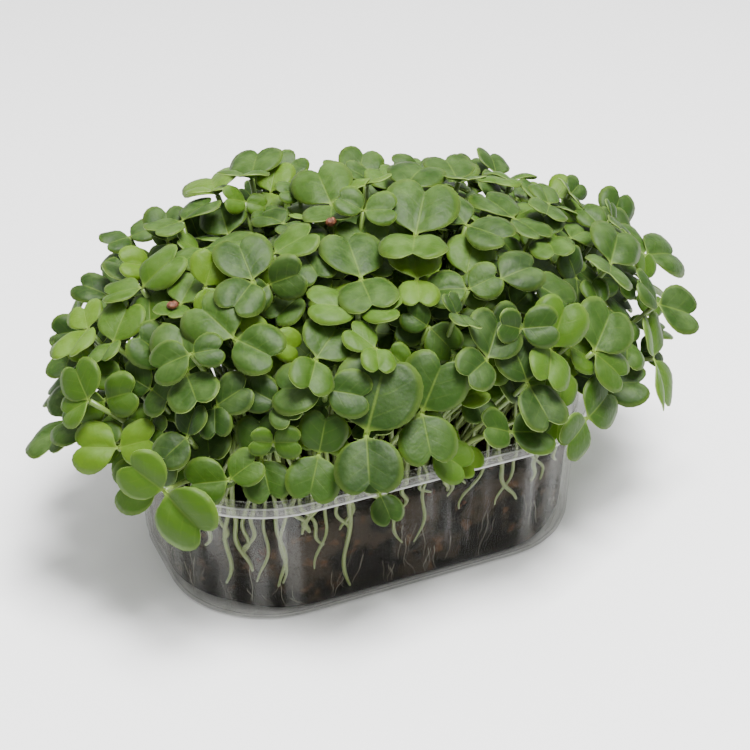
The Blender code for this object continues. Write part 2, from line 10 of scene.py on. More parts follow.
import logging
import math
import random
from dataclasses import dataclass, field
from enum import Enum
from typing import Callable, Optional, Sequence

import bmesh
import bpy
from mathutils import Matrix, Vector, noise
from mathutils.bvhtree import BVHTree

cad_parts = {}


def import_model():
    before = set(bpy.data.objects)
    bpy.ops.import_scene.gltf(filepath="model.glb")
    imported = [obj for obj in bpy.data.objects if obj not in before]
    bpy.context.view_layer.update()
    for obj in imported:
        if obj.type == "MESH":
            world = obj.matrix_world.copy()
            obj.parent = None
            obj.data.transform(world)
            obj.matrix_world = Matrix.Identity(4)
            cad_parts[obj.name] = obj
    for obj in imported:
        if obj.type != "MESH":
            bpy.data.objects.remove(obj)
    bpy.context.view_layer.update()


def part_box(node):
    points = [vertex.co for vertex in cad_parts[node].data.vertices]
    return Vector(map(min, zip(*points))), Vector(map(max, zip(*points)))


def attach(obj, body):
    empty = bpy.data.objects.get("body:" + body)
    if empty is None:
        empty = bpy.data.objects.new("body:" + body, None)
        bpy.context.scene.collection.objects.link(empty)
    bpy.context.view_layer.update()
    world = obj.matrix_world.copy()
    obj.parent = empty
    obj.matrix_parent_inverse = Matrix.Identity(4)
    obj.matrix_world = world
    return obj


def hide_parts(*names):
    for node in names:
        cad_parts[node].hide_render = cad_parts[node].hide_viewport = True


LOG = logging.getLogger("punnet")
MM = 0.001
BODY = "root"
UP = Vector((0.0, 0.0, 1.0))

Pair = tuple[float, float]
Colour = tuple[float, float, float]
Rgba = tuple[float, float, float, float]
Place = Callable[[Vector], Vector]
Rows = tuple[tuple[float, ...], ...]
Body = bmesh.types.BMesh
Piece = bpy.types.Object
Material = bpy.types.Material
Socket = bpy.types.NodeSocket


# The layout of the seedlings


@dataclass(frozen=True)
class TrayShape:
    """Sizes of the punnet in millimetres."""

    half: Pair = (71.5, 47.5)
    corner: float = 37.4
    height: float = 43.8
    rim: float = 3.6
    skirt: float = 3.0
    wall: float = 0.7
    draft: float = 1.4
    foot: float = 2.1
    straight: float = 37.0
    flute: float = 0.35


@dataclass(frozen=True)
class SoilShape:
    """Sizes of the growing medium in millimetres."""

    top: float = 32.0
    inset: float = 1.0
    gap: float = 0.3


@dataclass(frozen=True)
class CanopyRule:
    """The rule that places the seedlings, in millimetres."""

    rows: tuple[float, ...] = (-33.0, -20.0, -6.6, 6.6, 20.0, 33.0)
    pitch: float = 14.5
    margin: float = 7.0
    stem_circle: float = 1.2
    stem_sunk: float = 1.0
    half: Pair = (98.0, 67.0)
    centre: Pair = (8.0, 7.0)
    rim_z: float = 60.0
    top_z: float = 102.0
    stem_radius: float = 1.05
    thickness: float = 0.65
    reach_over_rim: float = 14.0
    rim_clear_z: float = 52.0
    least_spread: float = 118.0
    clearance: float = 0.22
    seed: int = 20
    most_per_tuft: int = 6
    shown_scale: float = 0.86
    skirt_tries: int = 60
    skirt_heights: Pair = (53.0, 61.0)
    skirt_lengths: Pair = (12.5, 16.0)
    skirt_lean: Pair = (30.0, 62.0)
    outline: tuple[Pair, ...] = ((0.26, 0.40), (0.72, 0.58), (1.03, 0.32))
    notch: float = 0.86


@dataclass(frozen=True)
class LowerRule:
    """The rule that places the lower seedlings, in millimetres."""

    lengths: Pair = (10.0, 14.5)
    back_tries: int = 300
    back_lift: Pair = (-10.0, -3.0)
    flank_tries: int = 420
    flank_reach: Pair = (0.76, 1.0)
    flank_lean: Pair = (15.0, 60.0)
    flank_foot: float = 54.0
    stray: float = 3.0
    reach_past_dome: float = 5.0
    front_z: float = 60.0
    front_y: float = -38.0
    front_x: Pair = (-64.0, 62.0)


@dataclass(frozen=True)
class SettleRule:
    """How far a seedling may stray from its planned place while it looks for room."""

    shift: float = 4.0
    shift_up: float = 6.0
    turn: float = 35.0
    shrink: float = 0.22
    tilt: float = 0.35


@dataclass(frozen=True)
class GrowthRule:
    """Ranges of the blades' angles and bends, and how the stem leans on its way up."""

    rise: Pair = (2.0, 30.0)
    roll: Pair = (-10.0, 10.0)
    fold: Pair = (0.10, 0.34)
    arch: Pair = (0.05, 0.25)
    second_size: Pair = (0.76, 0.92)
    sway: float = 1.5
    knee_share: float = 0.62
    below_knee: Pair = (0.14, 0.5)
    at_knee: float = 0.52
    upright_bend: Pair = (0.36, 0.55)
    least_meeting: float = 0.3


@dataclass(frozen=True)
class SpiralPass:
    """One pass along a spiral over the dome, with heights and lengths in millimetres."""

    tries: int
    limit: int
    lift: Pair
    lengths: Pair
    upright: float
    attempts: int
    lean: Pair = (-0.45, 0.15)


CANOPY_PASS = SpiralPass(tries=620, limit=116, lift=(-4.0, 3.0), lengths=(12.5, 17.0),
                         upright=0.3, attempts=3)
UNDER_PASS = SpiralPass(tries=300, limit=132, lift=(-16.0, -7.0), lengths=(11.0, 15.0),
                        upright=0.6, attempts=3)
DOME_PASS = SpiralPass(tries=430, limit=999, lift=(-6.0, 2.0), lengths=(10.0, 13.5),
                       upright=0.2, attempts=4, lean=(-1.1, -0.2))
DEEP_PASS = SpiralPass(tries=380, limit=999, lift=(-24.0, -7.0), lengths=(10.0, 15.0),
                       upright=0.6, attempts=4, lean=(-0.7, 0.0))
TRAY = TrayShape()
SOIL = SoilShape()
RULE = CanopyRule()
LOWER = LowerRule()
SETTLE = SettleRule()
GROWTH = GrowthRule()

# Seedlings that the picture shows plainly: the stem top's place on the dome, its height
# above the dome, the length of the larger blade, and the headings of the two blades
DOME_SEEDLINGS = (
    (-84, -14, 2, 16, 80, 190),
    (-62, -27, 1, 18, 67, 260),
    (-48, -27, 2, 18, 107, 300),
    (-61, -29, 9, 13, 177, -13),
    (-72, -29, 0, 17, 22, 200),
    (-54, -37, 1, 15, 27, 217),
    (-59, -34, 0, 15, -3, 227),
    (-92, -5, -2, 15, 177, 30),
    (-63, 8, 2, 17, -3, 160),
    (-74, 2, 2, 18, 37, 230),
    (-76, -4, 0, 15, 7, 200),
    (-56, -6, 0, 14, 37, 220),
    (-42, 13, 1, 16, -33, 247),
    (-50, 2, 0, 15, -84, 120),
    (-37, -16, 2, 19, 77, 210),
    (-28, 42, 7, 20, 80, 250),
    (-18, 38, 8, 18, 57, 240),
    (-20, -8, 1, 17, 77, 270),
    (-9, -24, 1, 19, 82, 260),
    (-13, -32, 1, 18, 147, -40),
    (-10, -35, 1, 18, -8, 170),
    (6, -29, 1, 15, 72, 250),
    (12, -15, 3, 22, 57, 240),
    (-27, -38, 2, 20, 72, 267),
    (-3, -50, 0, 19, 17, 200),
    (-12, -44, 0, 14, 137, 267),
    (-28, -46, 0, 18, 147, -40),
    (-44, -44, 0, 13, 127, 277),
    (-36, -53, 4, 14, 47, 197),
    (15, -52, 0, 18, 52, 205),
    (38, -50, 0, 17, 72, 250),
    (53, -49, 0, 19, 67, -30),
    (28, -55, -2, 17, -80, 100),
    (30, -33, 1, 15, 7, 190),
    (47, -10, 2, 17, 107, 290),
    (55, -16, 2, 15, 247, 60),
    (72, -25, 1, 18, 60, 230),
    (96, -8, 0, 18, 7, 120),
    (88, -28, 0, 17, -23, 150),
    (20, 10, 4, 18, 40, 230),
    (40, 12, 4, 17, 80, 250),
    (62, 20, 2, 17, 60, 210),
)

# Seedlings that droop over the rim: stem top in millimetres, length of the larger blade,
# headings of the two blades, and how steeply their faces are turned to the side
RIM_SEEDLINGS = (
    (-22, -57, 69, 24, 62, 252, 50),
    (-5, -56, 71, 19, 62, 262, 50),
    (-76, -46, 59, 19, 247, 70, 72),
    (-73, -31, 51, 16, 165, 30, 60),
    (-48, -45, 61, 17, 247, 60, 60),
    (-58, -47, 58, 14, 165, 20, 50),
    (-64, -36, 57, 16, 200, 20, 50),
    (0, -55, 58, 18, -73, 90, 62),
    (47, -57, 56, 18, 247, 60, 70),
    (-34, -52, 63, 15, 240, 60, 60),
    (-26, -58, 63, 15, 250, 60, 60),
    (-75, -34, 62, 18, 42, 200, 45),
    (-82, -24, 61, 15, 150, -20, 42),
    (-88, -14, 60, 15, 120, 300, 45),
    (-68, -41, 64, 15, 200, 40, 45),
)

# Seedlings that fill the canopy's far left corner, in the first list's columns
CORNER_SEEDLINGS = (
    (-37, 37, 3, 15, 100, 280), (-24, 33, 4, 15, 20, 200), (-13, 33, 3, 14, 60, 240),
    (-40, 27, 3, 14, 10, 190), (-22, 46, 1, 14, 150, 330), (-9, 42, 3, 14, 30, 210),
    (-48, 31, 1, 14, 70, 250), (-33, 45, 0, 13, 0, 180), (-30, 24, 2, 13, 120, 300),
)


def rounded_ring(half_x: float, half_y: float, corner: float, z: float,
                 steps: int) -> list[Vector]:
    """Points of a rounded rectangle, counter clockwise.

    Args:
        half_x: Half its length.
        half_y: Half its width.
        corner: Radius of its corners.
        z: Height of the ring.
        steps: Steps in each corner.

    Returns:
        The points in order.
    """
    points = []
    centres = ((half_x - corner, half_y - corner, 0), (corner - half_x, half_y - corner, 90),
               (corner - half_x, corner - half_y, 180), (half_x - corner, corner - half_y, 270))
    for centre_x, centre_y, start in centres:
        for step in range(steps + 1):
            angle = math.radians(start + 90.0 * step / steps)
            points.append(Vector((centre_x + corner * math.cos(angle),
                                  centre_y + corner * math.sin(angle), z)))
    return points


def soil_half() -> tuple[float, float, float]:
    """Half length, half width and corner radius of the soil at its top."""
    inset = TRAY.rim + TRAY.wall + SOIL.inset + TRAY.draft
    return TRAY.half[0] - inset, TRAY.half[1] - inset, TRAY.corner - inset


def inside_rounded(x: float, y: float, half_x: float, half_y: float, corner: float) -> bool:
    """Whether a point lies inside a rounded rectangle.

    Args:
        x: The point's place along the length.
        y: The point's place along the width.
        half_x: Half the length.
        half_y: Half the width.
        corner: Radius of the corners.

    Returns:
        True where it lies inside or on the outline.
    """
    over_x = max(abs(x) - (half_x - corner), 0.0)
    over_y = max(abs(y) - (half_y - corner), 0.0)
    return math.hypot(over_x, over_y) <= corner


def tuft_places() -> list[Pair]:
    """Places of the tufts on the soil, in rows that are offset by half a pitch.

    Returns:
        The places along and across the tray.
    """
    half_x, half_y, corner = (value - RULE.margin for value in soil_half())
    places = []
    for row, y in enumerate(RULE.rows):
        shift = 0.5 * RULE.pitch * (row % 2)
        for column in range(-5, 6):
            x = column * RULE.pitch + shift
            if inside_rounded(x, y, half_x, half_y, corner):
                places.append((x, y))
    return places


def dome_height(x: float, y: float) -> float:
    """Height of the dome that the stem tops lie near.

    Args:
        x: Place along the tray.
        y: Place across the tray.

    Returns:
        The height above the tray's underside.
    """
    reach = (((x - RULE.centre[0]) / RULE.half[0]) ** 2
             + ((y - RULE.centre[1]) / RULE.half[1]) ** 2)
    return RULE.rim_z + (RULE.top_z - RULE.rim_z) * math.sqrt(max(0.0, 1.0 - reach))


def dome_place(angle: float, reach: float) -> Pair:
    """A place on the dome's plan.

    Args:
        angle: Direction from the dome's centre in radians.
        reach: Share of the way out to its edge.

    Returns:
        The place along and across the tray.
    """
    return (RULE.centre[0] + RULE.half[0] * reach * math.cos(angle),
            RULE.centre[1] + RULE.half[1] * reach * math.sin(angle))


def spiral_angle(index: int) -> float:
    """Direction of one step of a spiral that fills a disc evenly."""
    return index * math.pi * (3.0 - math.sqrt(5.0))


def facing_out(angle: float, lean: float) -> Vector:
    """Facing of a pair of blades that leans away from the dome's centre.

    Args:
        angle: Direction from the dome's centre in radians.
        lean: Degrees from straight up.

    Returns:
        A unit vector.
    """
    outward = Vector((math.cos(angle), 1.4 * math.sin(angle), 0.0)).normalized()
    face = math.radians(lean)
    return outward * math.sin(face) + UP * math.cos(face)


def dome_normal(x: float, y: float, upright: float) -> Vector:
    """Direction out of the dome, blended with straight up.

    Args:
        x: Place along the tray.
        y: Place across the tray.
        upright: Share of straight up.

    Returns:
        A unit vector.
    """
    rise = RULE.top_z - RULE.rim_z
    height = (dome_height(x, y) - RULE.rim_z) / rise
    normal = Vector(((x - RULE.centre[0]) / RULE.half[0] ** 2,
                     (y - RULE.centre[1]) / RULE.half[1] ** 2, height / rise)).normalized()
    return (normal + UP * upright).normalized()


@dataclass(frozen=True)
class BladeRelief:
    """Small shapes of one finished blade: shares of its length, but its lift in millimetres."""

    wave: float
    puff: float
    size: float
    soft_fold: float = 0.04
    groove: float = 0.014
    groove_width: float = 0.05
    slack: float = 0.034
    half_width: float = 0.55
    lift: float = 0.45


class Blade:
    """One cotyledon: three axes from the stem top and a length."""

    cup: float = 0.35

    def __init__(self, root: Vector, normal: Vector, heading: float, rise: float, roll: float,
                 length: float, fold: float, arch: float) -> None:
        """Set the blade's axes.

        Args:
            root: The stem top.
            normal: Direction that the pair of blades faces.
            heading: Direction of the blade in plan, in radians.
            rise: Angle by which the blade rises out of the pair's plane.
            roll: Turn about the blade's own axis.
            length: Length from the stem top to the notch and a little past it.
            fold: How much the two halves fold up along the midrib.
            arch: How much the tip bends down.
        """
        flat = Vector((math.cos(heading), math.sin(heading), 0.0))
        along = (flat - normal * flat.dot(normal)).normalized()
        across = normal.cross(along)
        along = Matrix.Rotation(-rise, 3, across) @ along
        across = Matrix.Rotation(roll, 3, along) @ across
        self.root = root
        self.along = along
        self.across = across
        self.out = along.cross(across)
        self.length = length
        self.fold = fold
        self.arch = arch

    def point(self, u: float, v: float, lift: float = 0.0) -> Vector:
        """A point of the blade's plain surface.

        Args:
            u: Share of the length along the midrib.
            v: Share of the length across it.
            lift: Distance above the surface.

        Returns:
            The point in millimetres.
        """
        bend = self.fold * abs(v) - self.arch * u * u - self.cup * v * v
        size = self.length
        return (self.root + self.along * (u * size) + self.across * (v * size)
                + self.out * (bend * size + lift))

    def fine_point(self, u: float, v: float, relief: BladeRelief) -> Vector:
        """A point of the blade's finished surface, with a soft fold and a slack margin.

        Args:
            u: Share of the length along the midrib.
            v: Share of the length across it.
            relief: The blade's own small shapes.

        Returns:
            The point in millimetres.
        """
        soft = math.sqrt(v * v + relief.soft_fold ** 2) - relief.soft_fold
        bend = self.fold * soft - self.arch * u * u - self.cup * v * v
        groove = -relief.groove * math.exp(-(v / relief.groove_width) ** 2) * min(u * 4.0, 1.0)
        puff = relief.puff * math.sin(math.pi * min(abs(v) / 0.56, 1.0)) * math.sin(
            math.pi * min(max(u, 0.0), 1.0))
        slack = relief.slack * math.sin(6.0 * u + 3.0 * v + relief.wave)
        slack *= (v / relief.half_width) ** 2
        size = self.length * relief.size
        return (self.root + self.along * (u * size) + self.across * (v * size)
                + self.out * ((bend + groove + puff + slack) * size + relief.lift))


class Seedling:
    """A stem and its two blades, which share one root edge at the stem top."""

    def __init__(self, top: Vector, base: Vector, normal: Vector, length: float,
                 headings: Sequence[float], draw: random.Random) -> None:
        """Shape the stem's path and the two blades.

        Args:
            top: The stem top.
            base: The stem's foot.
            normal: Direction that the pair of blades faces.
            length: Length of the larger blade.
            headings: Headings of the two blades in degrees.
            draw: The seeded source of small differences.
        """
        self.top = top
        spread = top - base
        away = Vector((spread.x, spread.y, 0.0))
        sway = Vector((draw.uniform(-GROWTH.sway, GROWTH.sway),
                       draw.uniform(-GROWTH.sway, GROWTH.sway), 0.0))
        if away.length > RULE.reach_over_rim:
            knee = max(GROWTH.knee_share * spread.z, RULE.rim_clear_z - base.z)
            out, up = GROWTH.below_knee
            self.path = [base, base + away * out + UP * (up * knee) + sway,
                         base + away * GROWTH.at_knee + UP * knee, top]
        else:
            out, up = GROWTH.upright_bend
            self.path = [base, base + away * out + UP * (up * spread.z) + sway, top]
        self.blades: list[Blade] = []
        for order, heading in enumerate(headings):
            size = length * (1.0 if order == 0 else draw.uniform(*GROWTH.second_size))
            self.blades.append(Blade(
                top, normal, math.radians(heading), math.radians(draw.uniform(*GROWTH.rise)),
                math.radians(draw.uniform(*GROWTH.roll)), size,
                draw.uniform(*GROWTH.fold), draw.uniform(*GROWTH.arch)))
        self.out = (self.blades[0].out + self.blades[1].out).normalized()
        line = (self.blades[0].along - self.blades[1].along).normalized()
        self.edge = self.out.cross(line).normalized() * RULE.stem_radius
        self.heel = line * RULE.stem_radius

    def sheet_points(self, lift: float) -> list[Vector]:
        """The two roots and then each blade's notched outline.

        Args:
            lift: Distance above the surface.

        Returns:
            The points of one face of the pair.
        """
        raised = self.top + self.out * lift
        points = [raised + self.edge, raised - self.edge]
        for blade in self.blades:
            points.append(blade.point(RULE.notch, 0.0, lift))
            for u, v in reversed(RULE.outline):
                points.append(blade.point(u, v, lift))
            for u, v in RULE.outline:
                points.append(blade.point(u, -v, lift))
        return points

    def sheet(self, low: float, high: float) -> tuple[list[Vector], list[tuple[int, ...]]]:
        """Points and faces of the closed pair of blades between two heights.

        Args:
            low: Height of the lower face.
            high: Height of the upper face.

        Returns:
            The points and the triangles.
        """
        side = len(RULE.outline)
        bottom = self.sheet_points(low)
        count = len(bottom)
        faces, border = [], []
        for order in range(2):
            notch = 2 + order * (2 * side + 1)
            first = [notch + 1 + index for index in range(side)]
            last = [notch + 1 + side + index for index in range(side)]
            ring = first + [order, 1 - order] + last
            faces += [(notch, ring[index], ring[index + 1]) for index in range(len(ring) - 1)]
            border += last + [notch] + first + [order]
        solid: list[tuple[int, ...]] = [(a, c, b) for a, b, c in faces]
        solid += [(a + count, b + count, c + count) for a, b, c in faces]
        for index, corner in enumerate(border):
            after = border[(index + 1) % len(border)]
            solid.append((corner, after, after + count))
            solid.append((corner, after + count, corner + count))
        return bottom + self.sheet_points(high), solid

    def stem_rings(self, radius: float) -> list[list[Vector]]:
        """Three sided rings along the stem.

        Args:
            radius: Radius of the rings.

        Returns:
            One ring for each point of the path.
        """
        shape = [corner * (radius / RULE.stem_radius)
                 for corner in (self.edge, self.heel, -self.edge)]
        middle = sum(shape, Vector()) / 3.0
        rings = []
        for index, point in enumerate(self.path[:-1]):
            before = self.path[max(index - 1, 0)]
            axis = (self.path[index + 1] - before).normalized()
            turn = self.out.rotation_difference(axis)
            rings.append([point + turn @ (corner - middle) for corner in shape])
        rings.append([self.top + corner for corner in shape])
        return rings

    @staticmethod
    def stem_faces(start: int, rings: int) -> list[tuple[int, ...]]:
        """The sides of the stem between its rings, as triangles.

        Args:
            start: Index of the first ring's first point.
            rings: Number of rings.

        Returns:
            The triangles.
        """
        faces = []
        for step in range(rings - 1):
            low = start + step * 3
            for side in range(3):
                after = (side + 1) % 3
                faces.append((low + side, low + after, low + 3 + after))
                faces.append((low + side, low + 3 + after, low + 3 + side))
        return faces

    def sits_well(self) -> bool:
        """Whether the stem meets the blades from below and stays out of them.

        Returns:
            True where it does.
        """
        last = (self.path[-1] - self.path[-2]).normalized()
        if last.dot(self.out) < GROWTH.least_meeting:
            return False
        points: list[Vector] = []
        rings = self.stem_rings(RULE.stem_radius)[:-1]
        for ring in rings:
            points.extend(ring)
        stem = BVHTree.FromPolygons(points, self.stem_faces(0, len(rings)))
        return not stem.overlap(self.tree(margin=0.1, with_stem=False))

    def tree(self, margin: float, with_stem: bool) -> BVHTree:
        """A search tree of both blades, and of the stem too where asked.

        Args:
            margin: How far they are thickened.
            with_stem: Whether the stem is in it.

        Returns:
            The tree.
        """
        points, faces = self.sheet(-margin, RULE.thickness + margin)
        if with_stem:
            rings = self.stem_rings(RULE.stem_radius + margin)
            faces += self.stem_faces(len(points), len(rings))
            for ring in rings:
                points.extend(ring)
        return BVHTree.FromPolygons(points, faces)

    def box(self, margin: float) -> tuple[Vector, Vector]:
        """The box that holds the seedling.

        Args:
            margin: How far it is grown.

        Returns:
            Its lowest and highest corner.
        """
        points = self.sheet_points(0.0) + self.path
        low = Vector([min(point[axis] for point in points) - margin for axis in range(3)])
        high = Vector([max(point[axis] for point in points) + margin for axis in range(3)])
        return low, high


def boxes_meet(first: tuple[Vector, Vector], second: tuple[Vector, Vector]) -> bool:
    """Whether two boxes overlap."""
    return all(first[0][axis] <= second[1][axis] and second[0][axis] <= first[1][axis]
               for axis in range(3))


@dataclass
class Kept:
    """A seedling that found its place, with what the search needs."""

    seedling: Seedling
    tuft: int
    box: tuple[Vector, Vector]
    whole: BVHTree
    blades: BVHTree


class Planting:
    """Chooses the seedlings one after another, so that no tuft crosses another."""

    def __init__(self, places: list[Pair]) -> None:
        """Start with an empty canopy.

        Args:
            places: Places of the tufts on the soil.
        """
        self.draw = random.Random(RULE.seed)
        self.places = places
        self.tufts: list[list[Seedling]] = [[] for _ in places]
        self.kept: list[Kept] = []
        self.rim = self.rim_tree()
        self.loose = False

    def rim_tree(self) -> BVHTree:
        """A search tree of the tray's wall and rim, with room to spare.

        Returns:
            The tree.
        """
        inner, outer = -(TRAY.rim + TRAY.wall + 0.5), -TRAY.rim + 0.6
        over, foot = TRAY.height + 0.6, SOIL.top - 5.0
        sections = ((0.8, TRAY.height - TRAY.skirt - 0.6), (0.8, over), (inner, over),
                    (inner, foot), (outer, foot), (outer, 38.0))
        points: list[Vector] = []
        faces = []
        for grow, z in sections:
            points.extend(rounded_ring(TRAY.half[0] + grow, TRAY.half[1] + grow,
                                       TRAY.corner + grow, z, 8))
        count = len(points) // len(sections)
        for step in range(len(sections) - 1):
            for index in range(count):
                after = (index + 1) % count
                faces.append((step * count + index, step * count + after,
                              (step + 1) * count + after, (step + 1) * count + index))
        return BVHTree.FromPolygons(points, faces)

    def nearest_tuft(self, top: Vector) -> Optional[int]:
        """The tuft whose share of the canopy lies nearest, among those with room.

        Args:
            top: Top of the stem.

        Returns:
            The tuft's number, or None where the near ones are full.
        """
        half_x, half_y, _ = soil_half()
        target_x = (top.x - RULE.centre[0]) * (half_x - RULE.margin) / RULE.half[0]
        target_y = (top.y - RULE.centre[1]) * (half_y - RULE.margin) / RULE.half[1]
        order = sorted(range(len(self.places)), key=lambda index: (
            (self.places[index][0] - target_x) ** 2 + (self.places[index][1] - target_y) ** 2))
        for index in order[:3]:
            if len(self.tufts[index]) < RULE.most_per_tuft:
                return index
        return None

    @staticmethod
    def stays_back(seedling: Seedling) -> bool:
        """Whether a lower seedling keeps inside the canopy and clear of the front rim.

        Args:
            seedling: The seedling.

        Returns:
            True where it does.
        """
        for point in seedling.sheet_points(0.0):
            far = (((point.x - RULE.centre[0]) / (RULE.half[0] + LOWER.reach_past_dome)) ** 2
                   + ((point.y - RULE.centre[1]) / RULE.half[1]) ** 2)
            low_front = (point.z < LOWER.front_z and point.y < LOWER.front_y
                         and LOWER.front_x[0] < point.x < LOWER.front_x[1])
            if far > 1.0 or low_front:
                return False
        return True

    def own_foot(self, top: Vector) -> Vector:
        """Where a lower seedling stands: below its share of the canopy.

        Args:
            top: The stem top.

        Returns:
            A point just inside the soil.
        """
        half_x, half_y, corner = (value - 1.5 for value in soil_half())
        x = (top.x - RULE.centre[0]) * half_x / RULE.half[0] + self.either_way(LOWER.stray)
        y = (top.y - RULE.centre[1]) * half_y / RULE.half[1] + self.either_way(LOWER.stray)
        while not inside_rounded(x, y, half_x, half_y, corner):
            x, y = 0.96 * x, 0.96 * y
        return Vector((x, y, SOIL.top - RULE.stem_sunk))

    def either_way(self, most: float) -> float:
        """A random number between minus and plus a limit."""
        return self.draw.uniform(-most, most)

    def attempt(self, top: Vector, normal: Vector, length: float,
                headings: Sequence[float]) -> bool:
        """Keep a seedling if it crosses no other tuft and no blade of its own.

        Args:
            top: The stem top.
            normal: Direction that the pair faces.
            length: Length of the larger blade.
            headings: Headings of the blades in degrees.

        Returns:
            True where it was kept.
        """
        if self.loose:
            tuft, base = -1, self.own_foot(top)
        else:
            tuft = self.nearest_tuft(top)
            if tuft is None:
                return False
            x, y = self.places[tuft]
            turn = math.atan2(top.y - y, top.x - x)
            base = Vector((x + RULE.stem_circle * math.cos(turn),
                           y + RULE.stem_circle * math.sin(turn), SOIL.top - RULE.stem_sunk))
        seedling = Seedling(top, base, normal, length, headings, self.draw)
        if not seedling.sits_well() or (self.loose and not self.stays_back(seedling)):
            return False
        box = seedling.box(RULE.clearance + 1.5)
        whole = seedling.tree(RULE.clearance, with_stem=True)
        if whole.overlap(self.rim):
            return False
        blades = seedling.tree(RULE.clearance, with_stem=False)
        for other in self.kept:
            if not boxes_meet(box, other.box):
                continue
            if self.loose:
                if blades.overlap(other.blades):
                    return False
            elif other.tuft == tuft:
                if blades.overlap(other.whole) or whole.overlap(other.blades):
                    return False
            elif whole.overlap(other.whole):
                return False
        self.kept.append(Kept(seedling, tuft, box, whole, blades))
        if not self.loose:
            self.tufts[tuft].append(seedling)
        return True

    def settle(self, top: Vector, normal: Vector, length: float, headings: Sequence[float],
               tries: int) -> bool:
        """Try a seedling with small changes until it fits.

        Args:
            top: The stem top.
            normal: Direction that the pair faces.
            length: Length of the larger blade.
            headings: Headings of the blades in degrees.
            tries: Most tries.

        Returns:
            True where it was kept.
        """
        apart = (headings[1] - headings[0]) % 360.0
        apart = min(max(apart, RULE.least_spread), 360.0 - RULE.least_spread)
        headings = (headings[0], headings[0] + apart)
        for attempt in range(tries):
            loose = attempt / max(tries - 1, 1)
            shift = Vector((self.either_way(SETTLE.shift), self.either_way(SETTLE.shift),
                            self.either_way(SETTLE.shift_up))) * loose
            turn = self.either_way(SETTLE.turn) * loose
            size = length * (1.0 - SETTLE.shrink * loose)
            tilt = Vector((self.either_way(SETTLE.tilt), self.either_way(SETTLE.tilt),
                           0.0)) * loose
            if self.attempt(top + shift, (normal + tilt).normalized(), size,
                            [heading + turn for heading in headings]):
                return True
        return False

    def plant_shown(self) -> None:
        """Plant the seedlings that the picture shows plainly."""
        for x, y, z, length, first, second, steep in RIM_SEEDLINGS:
            away = Vector((x - RULE.centre[0], (y - RULE.centre[1]) * 1.6, 0.0)).normalized()
            face = math.radians(steep)
            normal = away * math.sin(face) + UP * math.cos(face)
            self.settle(Vector((x, y, z)), normal, length * RULE.shown_scale,
                        (first, second), tries=14)
        for x, y, lift, length, first, second in DOME_SEEDLINGS:
            top = Vector((x, y, dome_height(x, y) + lift))
            self.settle(top, dome_normal(x, y, upright=0.25), length * RULE.shown_scale,
                        (first, second), tries=14)

    def plant_skirt(self) -> None:
        """Plant drooping seedlings along the dome's rim, wherever there is room."""
        for index in range(RULE.skirt_tries):
            angle = math.tau * (index + self.either_way(0.3)) / RULE.skirt_tries
            x, y = dome_place(angle, 0.90 if index % 2 else 0.99)
            normal = facing_out(angle, self.draw.uniform(*RULE.skirt_lean))
            heading = math.degrees(angle) + self.either_way(70.0)
            self.settle(Vector((x, y, self.draw.uniform(*RULE.skirt_heights))), normal,
                        self.draw.uniform(*RULE.skirt_lengths), (heading, heading + 180.0),
                        tries=4)

    def plant_spiral(self, way: SpiralPass) -> None:
        """Plant along a spiral over the dome, evenly by area, wherever there is room.

        Args:
            way: Steps and limit of the pass, and the ranges that it draws from.
        """
        for index in range(way.tries):
            if len(self.kept) >= way.limit:
                return
            x, y = dome_place(spiral_angle(index), math.sqrt((index + 0.5) / way.tries))
            top = Vector((x, y, dome_height(x, y) + self.draw.uniform(*way.lift)))
            heading = self.draw.uniform(0.0, 360.0)
            pair = (heading, heading + 180.0 + self.either_way(30.0))
            tilt = Vector((self.either_way(0.3), self.draw.uniform(*way.lean), 0.0))
            normal = dome_normal(x, y, way.upright + (0.6 if y > 15.0 else 0.0)) + tilt
            self.settle(top, normal.normalized(), self.draw.uniform(*way.lengths), pair,
                        way.attempts)

    def plant(self) -> None:
        """Fill the canopy that the solids hold."""
        self.plant_shown()
        self.plant_skirt()
        self.plant_spiral(CANOPY_PASS)
        self.plant_spiral(UNDER_PASS)

    def plant_flanks(self) -> None:
        """Plant round the dome's sides, below its surface."""
        for index in range(LOWER.flank_tries):
            angle = spiral_angle(index)
            x, y = dome_place(angle, self.draw.uniform(*LOWER.flank_reach))
            z = self.draw.uniform(LOWER.flank_foot, max(dome_height(x, y) - 2.0, 57.0))
            normal = facing_out(angle, self.draw.uniform(*LOWER.flank_lean))
            heading = math.degrees(angle) + self.either_way(90.0)
            self.settle(Vector((x, y, z)), normal, self.draw.uniform(*LOWER.lengths),
                        (heading, heading + 180.0), tries=5)

    def plant_back(self) -> None:
        """Plant over the dome's far side, with the blades turned outwards."""
        for index in range(LOWER.back_tries):
            angle = math.pi * (0.08 + 0.84 * ((index * 0.618034) % 1.0))
            reach = math.sqrt(self.draw.uniform(0.25, 0.92))
            x, y = dome_place(angle, reach)
            heading = self.draw.uniform(0.0, 360.0)
            top = Vector((x, y, dome_height(x, y) + self.draw.uniform(*LOWER.back_lift)))
            self.settle(top, facing_out(angle, 20.0 + 45.0 * reach),
                        self.draw.uniform(*LOWER.lengths),
                        (heading, heading + 180.0), tries=5)

